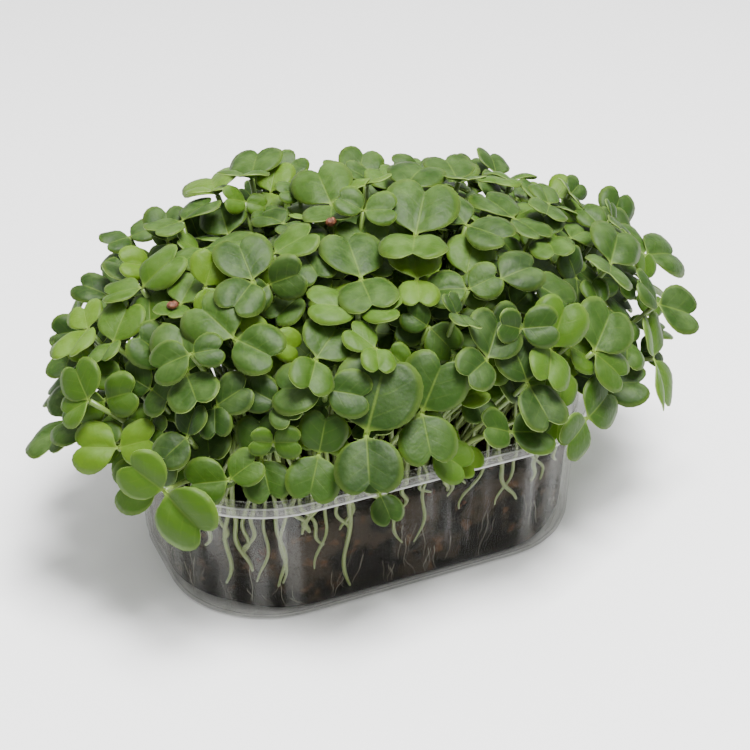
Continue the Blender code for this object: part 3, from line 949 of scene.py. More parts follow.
    def plant_below(self) -> list[Seedling]:
        """Add the lower leaves that show between the upper ones.

        Returns:
            The added seedlings.
        """
        start = len(self.kept)
        self.loose = True
        for x, y, lift, length, first, second in CORNER_SEEDLINGS:
            top = Vector((x, y, dome_height(x, y) + lift))
            normal = (dome_normal(x, y, upright=0.3) + Vector((0.0, -0.7, 0.0))).normalized()
            self.settle(top, normal, length * RULE.shown_scale, (first, second), tries=8)
        self.plant_spiral(DOME_PASS)
        self.plant_back()
        self.plant_flanks()
        self.plant_spiral(DEEP_PASS)
        return [kept.seedling for kept in self.kept[start:]]


# Mesh tools


class Stamp:
    """A small unit shape that is set down many times in one mesh."""

    def __init__(self, shape: Body) -> None:
        """Keep the shape's mesh as a template.

        Args:
            shape: The unit shape, which is used up.
        """
        self.mesh = bpy.data.meshes.new("stamp")
        shape.to_mesh(self.mesh)
        shape.free()

    def press(self, body: Body, place: Place, paint: Optional[Callable[[Vector], Rgba]] = None,
              chart: Optional[Callable[[Vector], Pair]] = None) -> None:
        """Add one placed copy of the shape.

        Args:
            body: The mesh that receives it.
            place: Moves a point of the unit shape to its place in metres.
            paint: Gives the vertex colour for a point of the unit shape.
            chart: Gives the UV place for a point of the unit shape.
        """
        start = len(body.verts)
        first_face = len(body.faces)
        body.from_mesh(self.mesh)
        body.verts.ensure_lookup_table()
        body.faces.ensure_lookup_table()
        tint = body.verts.layers.float_color.get("look")
        uv = body.loops.layers.uv.get("blade")
        unit = {}
        for index in range(start, len(body.verts)):
            corner = body.verts[index]
            unit[corner] = corner.co.copy()
            if tint is not None and paint is not None:
                corner[tint] = paint(corner.co)
            corner.co = place(unit[corner])
        for index in range(first_face, len(body.faces)):
            face = body.faces[index]
            face.smooth = True
            if uv is not None and chart is not None:
                for loop in face.loops:
                    loop[uv].uv = chart(unit[loop.vert])

    def drop(self) -> None:
        """Remove the template."""
        bpy.data.meshes.remove(self.mesh)


def tube_stamp(sides: int, cuts: int) -> Stamp:
    """A closed unit tube along Z from 0 to 1 with rings along it.

    Args:
        sides: Sides of the tube.
        cuts: Rings between its ends.

    Returns:
        The stamp.
    """
    body = bmesh.new()
    bmesh.ops.create_cone(body, cap_ends=True, segments=sides, radius1=1.0, radius2=1.0,
                          depth=1.0, matrix=Matrix.Translation((0.0, 0.0, 0.5)))
    upright = [edge for edge in body.edges
               if abs(edge.verts[0].co.z - edge.verts[1].co.z) > 0.5]
    bmesh.ops.subdivide_edges(body, edges=upright, cuts=cuts, use_grid_fill=True)
    bmesh.ops.recalc_face_normals(body, faces=body.faces[:])
    return Stamp(body)


def spline_point(path: Sequence[Vector], share: float) -> Vector:
    """A point on a smooth curve through a path.

    Args:
        path: The points that the curve passes through.
        share: Share of the way along, from 0 to 1.

    Returns:
        The point.
    """
    last = len(path) - 1
    place = min(max(share, 0.0), 1.0) * last
    index = min(int(place), last - 1)
    t = place - index
    p1, p2 = path[index], path[index + 1]
    p0 = path[index - 1] if index > 0 else p1 * 2.0 - p2
    p3 = path[index + 2] if index + 2 <= last else p2 * 2.0 - p1
    return 0.5 * (p1 * 2.0 + (p2 - p0) * t + (p0 * 2.0 - p1 * 5.0 + p2 * 4.0 - p3) * (t * t)
                  + (p1 * 3.0 - p0 - p2 * 3.0 + p3) * (t * t * t))


def tube_place(path: Sequence[Vector], radius: Callable[[float], float]) -> Place:
    """A placing that bends a unit tube along a path.

    Args:
        path: Points in millimetres.
        radius: Radius in millimetres at a share of the way along.

    Returns:
        The placing, in metres.
    """
    axes: dict[float, tuple[Vector, Vector, Vector, float]] = {}

    def place(unit: Vector) -> Vector:
        """Set a corner of the unit tube on its ring round the path.

        Args:
            unit: The corner on the unit tube.

        Returns:
            Its place in metres.
        """
        share = round(unit.z, 4)
        if share not in axes:
            here = spline_point(path, share)
            ahead = spline_point(path, min(share + 0.02, 1.0))
            back = spline_point(path, max(share - 0.02, 0.0))
            axis = (ahead - back).normalized()
            side = axis.cross(Vector((0.31, 0.95, 0.05))).normalized()
            axes[share] = (here, side, axis.cross(side), radius(share))
        here, side, other, size = axes[share]
        return (here + side * (unit.x * size) + other * (unit.y * size)) * MM

    return place


class PartSlot(Enum):
    """Material slots of the part's record."""

    CLEAR = "clear_plastic"
    SOIL = "growing_medium"
    GREEN = "seedling_green"
    HULL = "seed_hull"


def new_body() -> Body:
    """An empty mesh with the leaf's colour layer and its chart.

    Returns:
        The mesh.
    """
    body = bmesh.new()
    body.verts.layers.float_color.new("look")
    body.loops.layers.uv.new("blade")
    return body


def wrap_shell(body: Body, steps: int, rows: int,
               lay: Callable[[bmesh.types.BMVert, int, int], None]) -> None:
    """Wrap a grid once round the tray, join its seam and cap its two ends.

    Args:
        body: The mesh, still empty.
        steps: Steps round the tray.
        rows: Rows of the section.
        lay: Moves one corner to its step round and its row.
    """
    bmesh.ops.create_grid(body, x_segments=steps, y_segments=rows - 1, size=0.5)
    for corner in body.verts:
        lay(corner, round((corner.co.x + 0.5) * steps) % steps,
            round((corner.co.y + 0.5) * (rows - 1)))
    bmesh.ops.remove_doubles(body, verts=body.verts[:], dist=0.000005)
    bmesh.ops.holes_fill(body, edges=[edge for edge in body.edges if edge.is_boundary], sides=0)
    bmesh.ops.recalc_face_normals(body, faces=body.faces[:])
    for face in body.faces:
        face.smooth = len(face.verts) < 5


def add_object(name: str, data: bpy.types.ID) -> Piece:
    """Add an object to the scene.

    Args:
        name: Its name.
        data: The mesh, light or camera that it shows.

    Returns:
        The new object.
    """
    made = bpy.data.objects.new(name, data)
    bpy.context.scene.collection.objects.link(made)
    return made


def add_mesh(body: Body, name: str, materials: Sequence[Material]) -> Piece:
    """Turn a mesh into an object.

    Args:
        body: The mesh, which is used up.
        name: Name of the object.
        materials: Its materials in slot order.

    Returns:
        The new object.
    """
    mesh = bpy.data.meshes.new(name)
    body.to_mesh(mesh)
    body.free()
    for material in materials:
        mesh.materials.append(material)
    return add_object(name, mesh)


def finish_piece(body: Body, name: str, materials: Sequence[Material], slot: PartSlot) -> Piece:
    """Turn a mesh into a piece that rides on the tray.

    Args:
        body: The mesh, which is used up.
        name: Name of the piece.
        materials: Its materials in slot order.
        slot: The record's material slot; not used.

    Returns:
        The new object.
    """
    piece = add_mesh(body, name, materials)
    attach(piece, BODY)
    LOG.info("%s: %d faces", name, len(piece.data.polygons))
    return piece


# Finishes


class Graph:
    """Builds one material's node tree."""

    def __init__(self, name: str) -> None:
        """Start an empty tree with its output.

        Args:
            name: Name of the material.
        """
        self.material = bpy.data.materials.new(name)
        self.material.use_nodes = True
        self.tree = self.material.node_tree
        self.tree.nodes.clear()
        self.output = self.tree.nodes.new("ShaderNodeOutputMaterial")

    def node(self, kind: str, inputs: Optional[dict] = None, **settings: object) -> bpy.types.Node:
        """Add a node.

        Args:
            kind: The node's type.
            inputs: Values or sockets by input name or index.
            settings: The node's own properties.

        Returns:
            The node.
        """
        made = self.tree.nodes.new(kind)
        for key, value in settings.items():
            setattr(made, key, value)
        for key, value in (inputs or {}).items():
            self.feed(made.inputs[key], value)
        return made

    def feed(self, socket: Socket, value: object) -> None:
        """Set a socket to a value, or link another socket to it.

        Args:
            socket: The input socket.
            value: A number, a colour or an output socket.
        """
        if isinstance(value, Socket):
            self.tree.links.new(value, socket)
        else:
            socket.default_value = value

    def colour(self, rgb: Colour) -> Rgba:
        """A colour with full opacity."""
        return (*rgb, 1.0)

    def mix(self, factor: object, first: object, second: object) -> Socket:
        """Mix two colours.

        Args:
            factor: Share of the second.
            first: First colour or socket.
            second: Second colour or socket.

        Returns:
            The mixed colour's socket.
        """
        made = self.node("ShaderNodeMix", data_type="RGBA", blend_type="MIX")
        for index, value in ((0, factor), (6, first), (7, second)):
            if isinstance(value, tuple) and len(value) == 3:
                value = self.colour(value)
            self.feed(made.inputs[index], value)
        return made.outputs[2]

    def math(self, operation: str, first: object, second: object = 0.0) -> Socket:
        """A sum on numbers.

        Args:
            operation: The operation's name.
            first: First number or socket.
            second: Second number or socket.

        Returns:
            The result's socket.
        """
        return self.node("ShaderNodeMath", {0: first, 1: second}, operation=operation).outputs[0]

    def times(self, first: object, second: object) -> Socket:
        """The product of two numbers or sockets."""
        return self.math("MULTIPLY", first, second)

    def plus(self, first: object, second: object) -> Socket:
        """The sum of two numbers or sockets."""
        return self.math("ADD", first, second)

    def coordinates(self) -> Socket:
        """The object's own coordinates."""
        return self.node("ShaderNodeTexCoord").outputs["Object"]

    def height(self, vector: Socket) -> Socket:
        """The third part of a vector."""
        return self.node("ShaderNodeSeparateXYZ", {"Vector": vector}).outputs[2]

    def squeezed(self, vector: Socket, share: float) -> Socket:
        """Coordinates with their height scaled, which draws a pattern out into streaks."""
        return self.node("ShaderNodeMapping",
                         {"Vector": vector, "Scale": (1.0, 1.0, share)}).outputs[0]

    def look(self) -> Sequence[Socket]:
        """The three values that the mesh stores at its corners."""
        stored = self.node("ShaderNodeAttribute", attribute_name="look").outputs["Color"]
        return self.node("ShaderNodeSeparateColor", {"Color": stored}).outputs[:3]

    def ramp(self, factor: object, low: float, high: float) -> Socket:
        """A smooth step from 0 to 1.

        Args:
            factor: The number or socket that is read.
            low: Where it gives 0.
            high: Where it gives 1.

        Returns:
            The step's socket.
        """
        return self.node("ShaderNodeMapRange",
                         {"Value": factor, "From Min": low, "From Max": high},
                         interpolation_type="SMOOTHSTEP").outputs[0]

    def grain(self, scale: float, detail: float = 3.0, rough: float = 0.55,
              vector: Optional[Socket] = None) -> Socket:
        """Noise on the object's own coordinates.

        Args:
            scale: Patches to the metre.
            detail: Octaves.
            rough: Strength of the finer octaves.
            vector: Other coordinates, where given.

        Returns:
            The noise's value socket.
        """
        if vector is None:
            vector = self.coordinates()
        return self.node("ShaderNodeTexNoise", {"Vector": vector, "Scale": scale, "Detail": detail,
                                                "Roughness": rough}).outputs[0]

    def bump(self, height: Socket, strength: float, distance: float) -> Socket:
        """A bumped normal from a height."""
        return self.node("ShaderNodeBump", {"Height": height, "Strength": strength,
                                            "Distance": distance}).outputs[0]

    def surface(self, colour: object, roughness: object, inputs: Optional[dict] = None,
                specular: float = 0.5) -> bpy.types.Node:
        """The shader that the finishes end in.

        Args:
            colour: Its colour or socket.
            roughness: Its roughness or socket.
            inputs: Values or sockets of its other inputs by name.
            specular: Strength of its mirror light.

        Returns:
            The shader's node.
        """
        made = self.node("ShaderNodeBsdfPrincipled", {"Base Color": colour,
                                                      "Roughness": roughness, **(inputs or {})})
        made.inputs["Specular IOR Level"].default_value = specular
        return made

    def close(self, shader: bpy.types.Node) -> Material:
        """Link the shader to the output and give the material back."""
        self.tree.links.new(shader.outputs[0], self.output.inputs["Surface"])
        return self.material


@dataclass(frozen=True)
class LeafFinish:
    """Waxy cotyledon: green with grey bloom and painted sheen where it faces up, faint veins and
    some light through it.
    """

    name: str = "leaf_green"
    dark: Colour = (0.008, 0.026, 0.001)
    middle: Colour = (0.013, 0.039, 0.001)
    light: Colour = (0.040, 0.092, 0.002)
    young: Colour = (0.062, 0.125, 0.002)
    # Pale grey green of the bloom patches and of the painted sheen where the faces point up.
    bloom_and_sheen: Colour = (0.175, 0.275, 0.085)
    vein: Colour = (0.115, 0.180, 0.022)
    roughness: float = 0.44
    bloom_and_sheen_share: float = 0.28
    lines: float = 0.36
    ribs: float = 3.6
    pucker: float = 2.4

    def make(self) -> Material:
        """Build the material.

        Returns:
            The material.
        """
        g = Graph(self.name)
        edge, tone, age = g.look()
        uv = g.node("ShaderNodeUVMap", uv_map="blade").outputs[0]
        chart = g.node("ShaderNodeSeparateXYZ", {"Vector": uv})
        along = chart.outputs[0]
        across = g.math("ABSOLUTE", g.math("SUBTRACT", chart.outputs[1], 0.5))
        patches = g.grain(160.0, 4.0)
        base = g.mix(g.ramp(tone, 0.0, 0.5), self.dark, self.middle)
        base = g.mix(g.times(g.ramp(tone, 0.45, 1.0), 0.85), base, self.light)
        base = g.mix(g.ramp(age, 0.80, 0.95), base, self.young)
        # Painted sheen: faces that point up turn, in patches, towards the pale grey green, as top
        # light on the wax would.
        upward = g.height(g.node("ShaderNodeNewGeometry").outputs["Normal"])
        bloom_and_sheen_mask = g.times(g.ramp(upward, 0.45, 1.00), g.ramp(patches, 0.28, 0.78))
        base = g.mix(g.times(bloom_and_sheen_mask, self.bloom_and_sheen_share), base, self.bloom_and_sheen)
        slant = g.math("SUBTRACT", along, g.times(across, 0.75))
        slant = g.plus(slant, g.times(patches, 0.10))
        ribs = g.math("COSINE", g.times(slant, math.tau * self.ribs))
        ribs = g.math("POWER", g.math("MAXIMUM", ribs, 0.0), 18.0)
        ribs = g.times(ribs, g.ramp(across, 0.50, 0.20))
        midrib = g.ramp(across, 0.030, 0.006)
        midrib = g.times(midrib, g.ramp(along, 0.95, 0.55))
        lines = g.math("MAXIMUM", midrib, g.times(ribs, 0.22))
        base = g.mix(g.times(lines, self.lines), base, self.vein)
        base = g.mix(g.times(g.ramp(edge, 0.80, 1.0), 0.35), base, self.vein)
        base = g.mix(g.ramp(along, 0.16, 0.02), base, self.vein)
        relief = g.math("SUBTRACT", g.times(g.grain(1500.0, 2.0), 0.25), g.times(lines, 0.5))
        relief = g.plus(relief, g.times(g.grain(260.0, 2.0), self.pucker))
        shader = g.surface(
            base, g.plus(g.times(patches, 0.16), self.roughness),
            {"Subsurface Weight": 0.26, "Subsurface Radius": (0.5, 1.0, 0.12),
             "Subsurface Scale": 0.0009, "Normal": g.bump(relief, 0.35, 0.0005)}, 0.17)
        shader.inputs["Sheen Weight"].default_value = 0.03
        shader.inputs["Sheen Roughness"].default_value = 0.45
        return g.close(shader)


@dataclass(frozen=True)
class MottledFinish:
    """A plain dull colour with patches of a second one."""

    name: str
    colour: Colour
    patch: Colour
    scale: float
    roughness: float

    def make(self) -> Material:
        """Build the material.

        Returns:
            The material.
        """
        g = Graph(self.name)
        base = g.mix(g.grain(self.scale), self.colour, self.patch)
        return g.close(g.surface(base, self.roughness))


@dataclass(frozen=True)
class StemFinish:
    """Pale juicy stem, greener towards the leaves and whiter towards the soil."""

    foot: Colour = (0.125, 0.162, 0.044)
    head: Colour = (0.100, 0.170, 0.023)
    streak: Colour = (0.108, 0.165, 0.034)

    def make(self) -> Material:
        """Build the material.

        Returns:
            The material.
        """
        g = Graph("stem_pale")
        place = g.coordinates()
        base = g.mix(g.ramp(g.height(place), 0.036, 0.078), self.foot, self.head)
        streaks = g.grain(900.0, 3.0, 0.6, g.squeezed(place, 0.12))
        base = g.mix(g.times(g.ramp(streaks, 0.42, 0.66), 0.5), base, self.streak)
        return g.close(g.surface(
            base, 0.38, {"Subsurface Weight": 0.25, "Subsurface Scale": 1.0,
                         "Subsurface Radius": (0.0010, 0.0012, 0.0005),
                         "Normal": g.bump(streaks, 0.2, 0.0003)}))


@dataclass(frozen=True)
class ClearFinish:
    """Clear plastic sheet with a faint grey haze, painted highlights in lines and streaks, and
    painted shade in its flute valleys.
    """

    tint: Colour = (0.955, 0.955, 0.950)
    haze: Colour = (0.34, 0.34, 0.31)
    fog: Colour = (0.50, 0.50, 0.47)
    # Colours of the painted highlights and of the painted shade in the flute valleys.
    painted_highlight: Colour = (0.85, 0.85, 0.84)
    shade: Colour = (0.03, 0.03, 0.03)
    least: float = 0.006
    most: float = 0.9
    glancing: float = 0.50
    cloud: float = 0.016
    milk: float = 0.26
    line: float = 0.45
    crease: float = 0.22
    streak: float = 0.055

    def make(self) -> Material:
        """Build the material.

        Returns:
            The material.
        """
        g = Graph("clear_plastic")
        place = g.coordinates()
        milk, line, crease = g.look()
        cloud = g.grain(55.0, 3.0, 0.55, place)
        scuff = g.grain(700.0, 2.0, 0.5, place)
        # Painted highlights: thin upright streaks on the wall, which fade out towards the foot.
        streak = g.ramp(g.grain(240.0, 2.0, 0.5, g.squeezed(place, 0.06)), 0.56, 0.72)
        streak = g.times(streak, g.ramp(g.height(place), 0.002, 0.030))
        clear = g.node("ShaderNodeBsdfTransparent", {"Color": g.colour(self.tint)})
        body = g.mix(cloud, self.haze, self.fog)
        # Painted highlight in the bright lines and streaks, then painted shade in the flute
        # valleys.
        body = g.mix(g.math("MAXIMUM", line, streak), body, self.painted_highlight)
        body = g.mix(crease, body, self.shade)
        skin = g.surface(body, g.plus(g.times(scuff, 0.12), 0.08),
                         {"Normal": g.bump(cloud, 0.10, 0.002)}, 1.0)
        facing = g.node("ShaderNodeLayerWeight", {"Blend": 0.5}).outputs["Facing"]
        factor = g.times(g.math("POWER", facing, 4.0), self.glancing)
        for share, weight in ((g.ramp(cloud, 0.45, 0.75), self.cloud), (milk, self.milk),
                              (line, self.line), (crease, self.crease), (streak, self.streak)):
            factor = g.plus(factor, g.times(share, weight))
        factor = g.math("MINIMUM", g.plus(factor, self.least), self.most)
        return g.close(g.node("ShaderNodeMixShader", {0: factor, 1: clear.outputs[0],
                                                      2: skin.outputs[0]}))


@dataclass(frozen=True)
class SoilFinish:
    """Moist dark growing medium with black patches, brown fibre and rusty flecks."""

    deep: Colour = (0.004, 0.003, 0.002)
    grey: Colour = (0.028, 0.021, 0.014)
    brown: Colour = (0.062, 0.035, 0.018)
    mould: Colour = (0.125, 0.108, 0.078)

    def make(self) -> Material:
        """Build the material.

        Returns:
            The material.
        """
        g = Graph("growing_medium")
        place = g.coordinates()
        wide = g.grain(85.0, 4.0, 0.6, place)
        small = g.grain(420.0, 5.0, 0.7, place)
        speck = g.grain(190.0, 2.0, 0.5, place)
        # Broad patches that turn from black to grey, with more of them grey higher up the block.
        patches_paler_upward = g.plus(wide, g.times(g.ramp(g.height(place), 0.006, 0.026), 0.14))
        base = g.mix(g.ramp(patches_paler_upward, 0.50, 0.66), self.deep, self.grey)
        base = g.mix(g.times(g.ramp(speck, 0.56, 0.68), g.ramp(patches_paler_upward, 0.46, 0.60)),
                     base, self.brown)
        base = g.mix(g.times(g.ramp(small, 0.60, 0.74), 0.30), base, self.mould)
        return g.close(g.surface(base, g.plus(g.times(small, 0.3), 0.6),
                                 {"Normal": g.bump(small, 0.8, 0.0015)}, 0.08))


@dataclass(frozen=True)
class HuskFinish:
    """Wrinkled red brown seed hull."""

    red: Colour = (0.085, 0.020, 0.006)
    pale: Colour = (0.200, 0.072, 0.027)

    def make(self) -> Material:
        """Build the material.

        Returns:
            The material.
        """
        g = Graph("seed_husk")
        wrinkle = g.grain(1400.0, 4.0, 0.65)
        base = g.mix(g.ramp(wrinkle, 0.45, 0.70), self.red, self.pale)
        base = g.mix(g.ramp(g.grain(600.0), 0.60, 0.72), base, (0.040, 0.010, 0.006))
        return g.close(g.surface(base, 0.5, {"Normal": g.bump(wrinkle, 0.7, 0.0006)}))


@dataclass(frozen=True)
class FibreFinish:
    """Rusty brown flecks of seed coat and fibre in the growing medium."""

    brown: Colour = (0.085, 0.034, 0.018)
    dark: Colour = (0.028, 0.014, 0.009)

    def make(self) -> Material:
        """Build the material.

        Returns:
            The material.
        """
        g = Graph("rusty_flecks")
        mottle = g.grain(800.0, 4.0, 0.65)
        base = g.mix(g.ramp(mottle, 0.40, 0.62), self.dark, self.brown)
        return g.close(g.surface(base, 0.8, {"Normal": g.bump(mottle, 0.6, 0.0008)}, 0.10))


@dataclass(frozen=True)
class FloorFinish:
    """Plain pale floor."""

    colour: Colour = (0.90, 0.90, 0.90)

    def make(self) -> Material:
        """Build the material."""
        g = Graph("pale_floor")
        return g.close(g.surface(g.colour(self.colour), 0.7))


MARGIN = MottledFinish("leaf_margin", colour=(0.210, 0.310, 0.050),
                       patch=(0.120, 0.200, 0.040), scale=300.0, roughness=0.5)
ROOT = MottledFinish("root_white", colour=(0.200, 0.185, 0.140),
                     patch=(0.100, 0.085, 0.060), scale=500.0, roughness=0.6)
# Undersides: paler than the tops, partly their own colour and partly painted light that stands in
# for light coming through the leaf.
UNDERSIDE = LeafFinish("leaf_underside", dark=(0.060, 0.125, 0.010),
                       middle=(0.090, 0.175, 0.020), light=(0.125, 0.215, 0.035),
                       young=(0.160, 0.260, 0.020), bloom_and_sheen=(0.140, 0.220, 0.075),
                       vein=(0.210, 0.300, 0.070))


# Pieces


@dataclass
class SeedlingKit:
    """The unit shapes that seedlings are made of, and their stems' radius in millimetres."""

    blade: Stamp
    stem: Stamp
    width: float

    def drop(self) -> None:
        """Remove both templates."""
        self.blade.drop()
        self.stem.drop()


@dataclass
class Foliage:
    """Leaves and stems of the tufts and of the lower seedlings."""

    leaf: Material
    margin: Material
    underside: Material
    stem: Material
    thickness: float = 0.36
    steps_along: int = 14
    steps_across: int = 10
    under_along: int = 12
    under_across: int = 8
    shape: tuple[Pair, ...] = (
        (0.00, 0.035), (0.08, 0.055), (0.12, 0.22), (0.20, 0.39), (0.35, 0.52), (0.54, 0.585),
        (0.73, 0.580), (0.89, 0.51), (1.00, 0.38), (1.035, 0.24), (0.97, 0.105), (0.845, 0.0))
    stem_width: float = 0.86
    lower_stem_width: float = 0.75
    hanging_size: float = 0.80
    hanging_z: float = 53.0
    hanging_y: float = -50.0
    hanging_x: float = -62.0
    looks: random.Random = field(default_factory=lambda: random.Random(77))

    def grid(self, along: int, across: int) -> Stamp:
        """A unit blade: x runs from root to notch and y from edge to edge.

        Args:
            along: Cells from root to notch.
            across: Cells from edge to edge.

        Returns:
            The stamp, in blade shares.
        """
        body = bmesh.new()
        bmesh.ops.create_grid(body, x_segments=along, y_segments=across, size=0.5)
        outline = [Vector((u, v, 0.0)) for u, v in self.shape]
        for corner in body.verts:
            share, side = corner.co.x + 0.5, corner.co.y * 2.0
            rim = spline_point(outline, share)
            inner = 0.845 * share
            corner.co = Vector((inner + abs(side) * (rim.x - inner), side * max(rim.y, 0.0),
                                abs(side)))
        bmesh.ops.remove_doubles(body, verts=body.verts[:], dist=0.0005)
        return Stamp(body)

    def press_seedling(self, leaves: Body, stems: Body, seedling: Seedling,
                       kit: SeedlingKit) -> None:
        """Add one seedling's blades and stem.

        Args:
            leaves: Mesh of the blades.
            stems: Mesh of the stems.
            seedling: The seedling.
            kit: The unit blade, the unit tube and the stem's radius.
        """
        tone = min(max(self.looks.gauss(0.52, 0.28), 0.15), 1.0)
        age = self.looks.random()
        for blade in seedling.blades:
            tip = blade.point(1.0, 0.0)
            hangs = (tip.z < self.hanging_z and tip.y < self.hanging_y
                     and tip.x > self.hanging_x)
            relief = BladeRelief(self.looks.uniform(0.0, math.tau),
                                 self.looks.uniform(0.0, 0.09),
                                 self.hanging_size if hangs else 1.0)
            shade = min(max(tone + self.looks.uniform(-0.12, 0.12), 0.0), 1.0)

            def place(unit: Vector, blade: Blade = blade, relief: BladeRelief = relief) -> Vector:
                """A corner of the unit blade on this blade, in metres."""
                return blade.fine_point(unit.x, unit.y, relief) * MM

            kit.blade.press(
                leaves, place,
                paint=lambda unit, shade=shade: (unit.z, shade, age, 1.0),
                chart=lambda unit: (unit.x, unit.y + 0.5))
        path = list(seedling.path)
        path[-1] = seedling.top + seedling.out * 0.2

        def radius(share: float) -> float:
            """Radius of the stem, which swells at its top."""
            swell = 0.18 * math.exp(-((share - 1.0) / 0.04) ** 2)
            return kit.width * (1.0 - 0.16 * share + swell)

        kit.stem.press(stems, tube_place(path, radius))

    def grow(self, prefix: str, number: int, seedlings: Sequence[Seedling],
             kit: SeedlingKit) -> tuple[Piece, Piece]:
        """Build one piece of leaves, with thickness and paler undersides, partly their own colour
        and partly painted light through the leaf, and one of stems.

        Args:
            prefix: Start of the two pieces' names.
            number: Number that ends their names.
            seedlings: The seedlings in them.
            kit: Their unit shapes.

        Returns:
            The leaves and the stems.
        """
        leaves, stems = new_body(), new_body()
        for seedling in seedlings:
            self.press_seedling(leaves, stems, seedling, kit)
        piece = finish_piece(leaves, "%sleaves_%02d" % (prefix, number),
                             [self.leaf, self.margin, self.underside], PartSlot.GREEN)
        wall = piece.modifiers.new("thickness", "SOLIDIFY")
        wall.thickness = self.thickness * MM
        wall.offset = 0.0
        wall.material_offset = 2
        wall.material_offset_rim = 1
        return piece, finish_piece(stems, "%sstems_%02d" % (prefix, number), [self.stem],
                                   PartSlot.GREEN)

    def build_tufts(self, planting: Planting) -> None:
        """Replace each tuft's solid by its leaves and stems.

        Args:
            planting: The layout.
        """
        kit = SeedlingKit(self.grid(self.steps_along, self.steps_across), tube_stamp(8, 11),
                          self.stem_width)
        grown = [seedlings for seedlings in planting.tufts if seedlings]
        for number, seedlings in enumerate(grown, start=1):
            node = "seedlings_%02d" % number
            for piece in self.grow("", number, seedlings, kit):
                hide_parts(node)
            self.compare(node, seedlings)
        kit.drop()

    def compare(self, node: str, seedlings: list[Seedling]) -> None:
        """Log how far the layout's box lies from the solid's.

        Args:
            node: The tuft's solid.
            seedlings: The tuft's seedlings.
        """
        low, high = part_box(node)
        boxes = [seedling.box(0.0) for seedling in seedlings]
        worst = max(
            max(abs(min(box[0][axis] for box in boxes) * MM - low[axis]),
                abs(max(box[1][axis] for box in boxes) * MM - high[axis]))
            for axis in range(2))
        if worst > 0.0025:
            LOG.warning("%s: the layout lies %.1f mm from its solid", node, worst / MM)

    def build_below(self, seedlings: list[Seedling]) -> None:
        """Add the lower leaves in their own pieces.

        Args:
            seedlings: The lower seedlings.
        """
        kit = SeedlingKit(self.grid(self.under_along, self.under_across), tube_stamp(6, 7),
                          self.lower_stem_width)
        for number, share in enumerate((seedlings[::2], seedlings[1::2]), start=1):
            self.grow("lower_", number, share, kit)
        kit.drop()


def wall_point(share: float, inset: float, z: float) -> Vector:
    """A point on the tray's plan outline.

    Args:
        share: Share of the way round, from the right end counter clockwise.
        inset: Distance inside the rim's outer edge.
        z: Height.

    Returns:
        The point in millimetres.
    """
    half_x, half_y, corner = TRAY.half[0] - inset, TRAY.half[1] - inset, TRAY.corner - inset
    flat_x, flat_y = half_x - corner, half_y - corner
    arc = 0.5 * math.pi * corner
    runs = ((flat_y, 0), (arc, 1), (2.0 * flat_x, 2), (arc, 3), (2.0 * flat_y, 4), (arc, 5),
            (2.0 * flat_x, 6), (arc, 7), (flat_y, 8))
    left = (share % 1.0) * sum(length for length, _ in runs)
    for length, kind in runs:
        if left <= length or kind == 8:
            break
        left -= length
    turn = left / corner
    spots = {
        0: (half_x, left), 2: (flat_x - left, half_y), 4: (-half_x, flat_y - left),
        6: (left - flat_x, -half_y), 8: (half_x, left - flat_y),
        1: (flat_x + corner * math.cos(turn), flat_y + corner * math.sin(turn)),
        3: (-flat_x - corner * math.sin(turn), flat_y + corner * math.cos(turn)),
        5: (-flat_x - corner * math.cos(turn), -flat_y - corner * math.sin(turn)),
        7: (flat_x + corner * math.sin(turn), -flat_y - corner * math.cos(turn))}
    x, y = spots[kind]
    return Vector((x, y, z))


def front_share(x: float) -> float:
    """Share of the way round at which the front wall passes a place along the tray.

    Args:
        x: The place in millimetres.

    Returns:
        The share.
    """
    best, share = 1e9, 0.0
    for step in range(601):
        trial = 0.5 + 0.5 * step / 600
        gap = abs(wall_point(trial, TRAY.rim, 0.0).x - x)
        if gap < best:
            best, share = gap, trial
    return share


@dataclass(frozen=True)
class SheetRow:
    """One row of the tray's section: place, share of flute, milkiness and painted highlight line.
    """

    inset: float
    z: float
    flute: float = 0.0
    milk: float = 0.0
    line: float = 0.0


